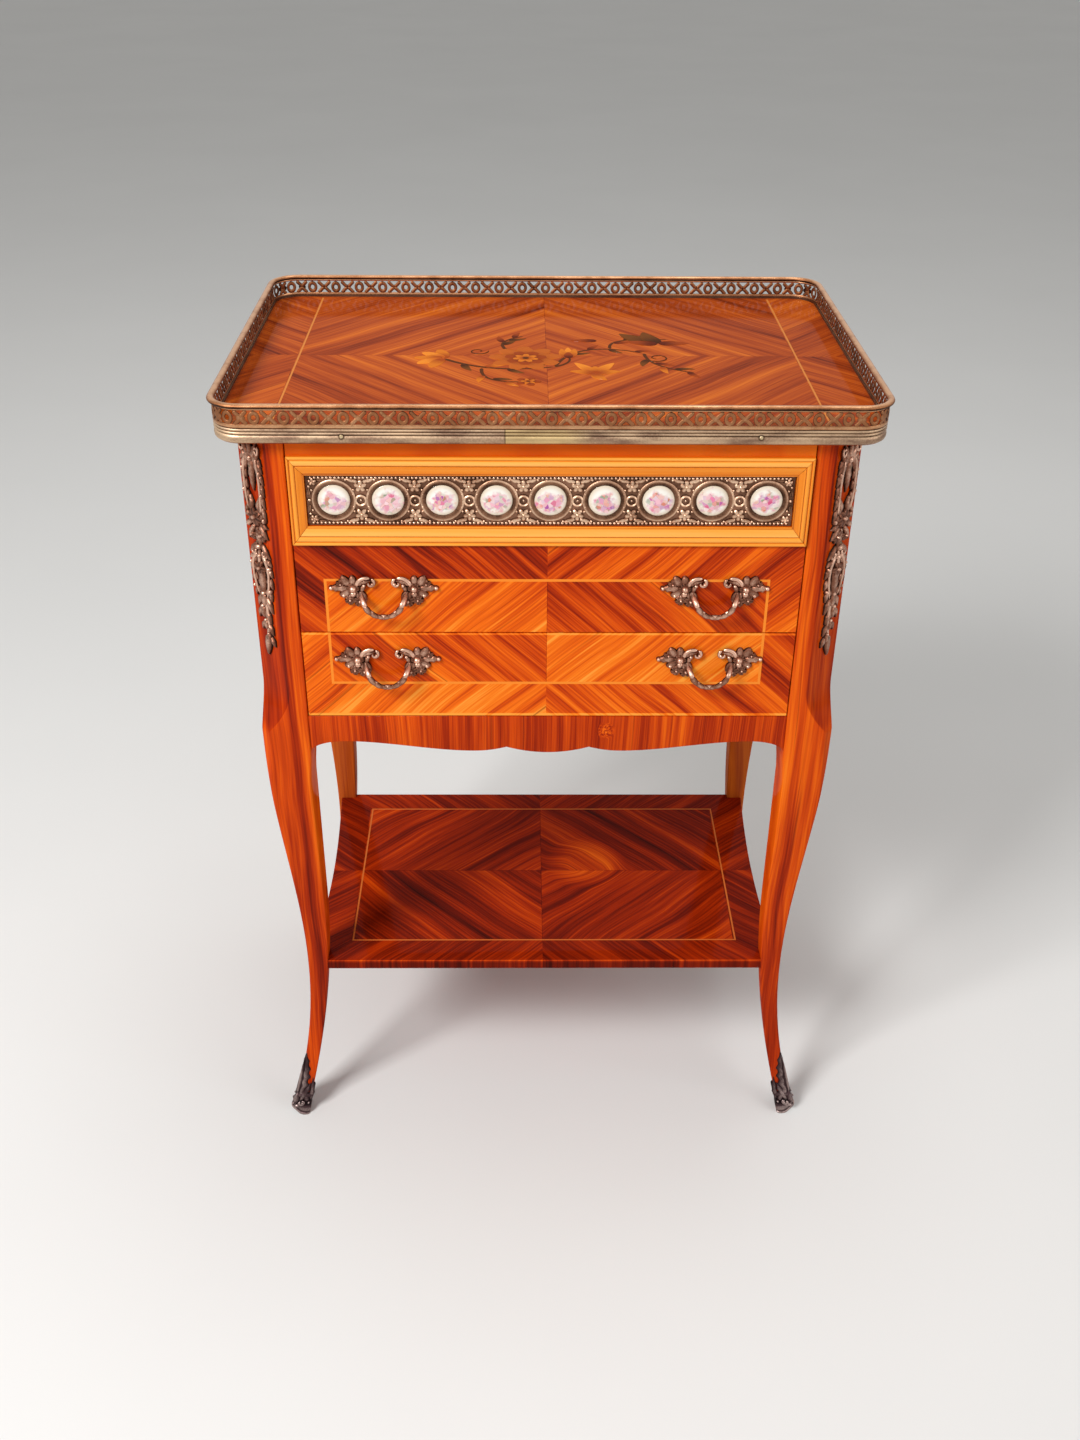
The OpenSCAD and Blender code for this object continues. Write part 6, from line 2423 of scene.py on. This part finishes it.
def dress(nodes: Nodes) -> None:
    """Gives the CAD nodes that stay their finishes, through their material slots.

    Args:
        nodes: the CAD nodes by name.
    """
    drawers = ("top_drawer", "middle_drawer", "lower_drawer")
    fronts = Match((0, 2), (-1.8, 539.3), (175.8, 47.0), 43.0, 2.2, 0.2, rise=-1.8, border_tone=-0.09)
    lines = ((2, 461.6, 1.3, 0.34), (2, 538.0, 0.9, 0.24))
    sides = Match((1, 2), (-4.0, 581.0), (88.0, 92.0), slant=42.0, line=1.6, border_tone=-0.04)
    top = Match((0, 1), (-1.5, -1.0), (208.5, 400.0), slant=46.5, chatoyance=0.06, dark_ring=97.0)
    ground = (0.32, 0.16, 0.1)
    finishes = (
        (
            PlainWood("plain_wood_x", Run.ALONG_X),
            ["top_rail_front", "top_rail_back", "blade_upper", "blade_lower", "shelf_dowels"]
            + [f"{drawer}_{part}" for drawer in drawers for part in ("back", "bottom")],
        ),
        (
            PlainWood("plain_wood_y", Run.ALONG_Y),
            ["drawer_runners", "drawer_guides", "bottom_board"]
            + [f"{drawer}_side_{side.name.lower()}" for drawer in drawers for side in Side],
        ),
        (Inlay("stringing", (0.62, 0.21, 0.045), (0.38, 0.1, 0.018), shaded=False), ["top_stringing"]),
        (Bronze("frieze_ground", (0.13, 0.06, 0.035), ground, ground, crested=False), ["frieze_strip"]),
        (
            Brass("pin_brass", (0.3, 0.2, 0.12), (0.08, 0.045, 0.03)),
            ["top_screws", "mount_pins", "frieze_pins", "middle_handle_screws", "lower_handle_screws"],
        ),
        (Brass("nail_brass", (0.85, 0.7, 0.46), (0.6, 0.45, 0.26)), ["band_nails"]),
        (
            Veneer("top_veneer", match=top, tone=0.45, contrast=0.8, palette=FADED_KINGWOOD),
            ["top_panel"],
        ),
        (
            Veneer("drawer_veneer", match=fronts, tone=0.63, seed=2.0, spread=0.85, bands=lines),
            ["middle_drawer_front", "lower_drawer_front"],
        ),
        (Veneer("upper_front_veneer", Run.ALONG_X, tone=0.7, contrast=0.5, seed=4.0), ["top_drawer_front"]),
        (Veneer("side_veneer", match=sides, tone=0.5, seed=7.0), ["side_panel_left", "side_panel_right"]),
        (
            PlainWood("back_board", Run.ALONG_Z, (0.3, 0.1, 0.035), (0.13, 0.035, 0.014), 0.1, 0.5),
            ["back_panel"],
        ),
    )
    for finish, names in finishes:
        material = finish.material()
        for slot in (slot for name in names for slot in nodes[name].material_slots):
            slot.material = material


def main() -> None:
    """Builds the table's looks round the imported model."""
    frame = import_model()
    nodes = frame["nodes"]
    Studio().build()
    dress(nodes)

    leg = CornerLeg()
    lines = ((0, 203.5, 2.6, 0.1), (0, 213.5, 3.0, -0.1))
    # cant paints shade on the legs' canted faces.
    front = Veneer("leg_veneer", tone=0.53, contrast=0.7, seed=11.0, bands=lines, cant=0.14, foot=0.08)
    back = Veneer("back_leg_veneer", tone=0.56, contrast=0.6, seed=12.0, palette=FADED_KINGWOOD, cant=0.06)
    legs = {End.FRONT: front.material(), End.BACK: back.material()}
    bronze = Bronze("cast_bronze").material()
    shoe = Bronze("sabot_bronze", (0.015, 0.009, 0.01), (0.06, 0.034, 0.036), (0.4, 0.3, 0.28)).material()
    sabot = Sabot(leg)
    for side in Side:
        for end in End:
            leg.build(side, end, legs[end])
            sabot.build(side, end, shoe)
    knot = Knot(48.5, 2, 445.5, 9.0, blotch=1.5)
    front = Veneer("apron_veneer", tone=0.46, contrast=0.65, seed=13.0, spread=0.5, knot=knot)
    others = Veneer("side_apron_veneer", tone=0.45, contrast=0.8, seed=15.0)
    Aprons().build(front.material(), others.material())
    mount = CornerMount()
    for side in Side:
        mount.build(side, bronze)

    pull = Pull()
    for drawer, height in ((Body.MIDDLE_DRAWER, 575.5), (Body.LOWER_DRAWER, 511.0)):
        for side in Side:
            pull.build(drawer, side, height, bronze)
    MouldingFrame().build(HoneyWood().material())
    frieze = Frieze()
    cast = Bronze("frieze_bronze", (0.055, 0.024, 0.014), (0.34, 0.17, 0.1), (0.85, 0.58, 0.4))
    frieze.build(cast.material())
    frieze.build_plaques(Porcelain(frieze.centre_z, frieze.pitch).material())

    cast = Bronze("gallery_bronze", (0.05, 0.021, 0.012), (0.32, 0.13, 0.055), (0.66, 0.36, 0.19))
    band = Brass("band_brass", splice=(-34.5, 35.5), reeded=True)
    Gallery().build(band.material(), cast.material())
    Marquetry().build()
    shelf = Shelf()
    board = Veneer(
        "shelf_veneer",
        match=Match((0, 1), (-2.0, -9.5), (185.0, 108.75), chatoyance=0.05, border_tone=-0.03),
        tone=0.3,
        contrast=0.75,
        coat=0.08,
        wave=0.03,
        seed=19.0,
        # Painted light on the front edge: a highlight along its top arris and shade lower down.
        bands=((2, 176.1, 0.4, 0.2), (2, 170.5, 3.6, -0.12)),
        knot=Knot(44.0, 1, 4.0, 46.0, push=-15.0, glow=0.2),
    )
    shelf.build(board.material())
    line = Inlay("shelf_stringing", (0.62, 0.15, 0.03), (0.4, 0.07, 0.012), shaded=False)
    shelf.build_stringing(line.material())

    LOG.info("all pieces are in place")


if __name__ == "__main__":
    logging.basicConfig(level=logging.INFO, format="%(message)s")
    main()
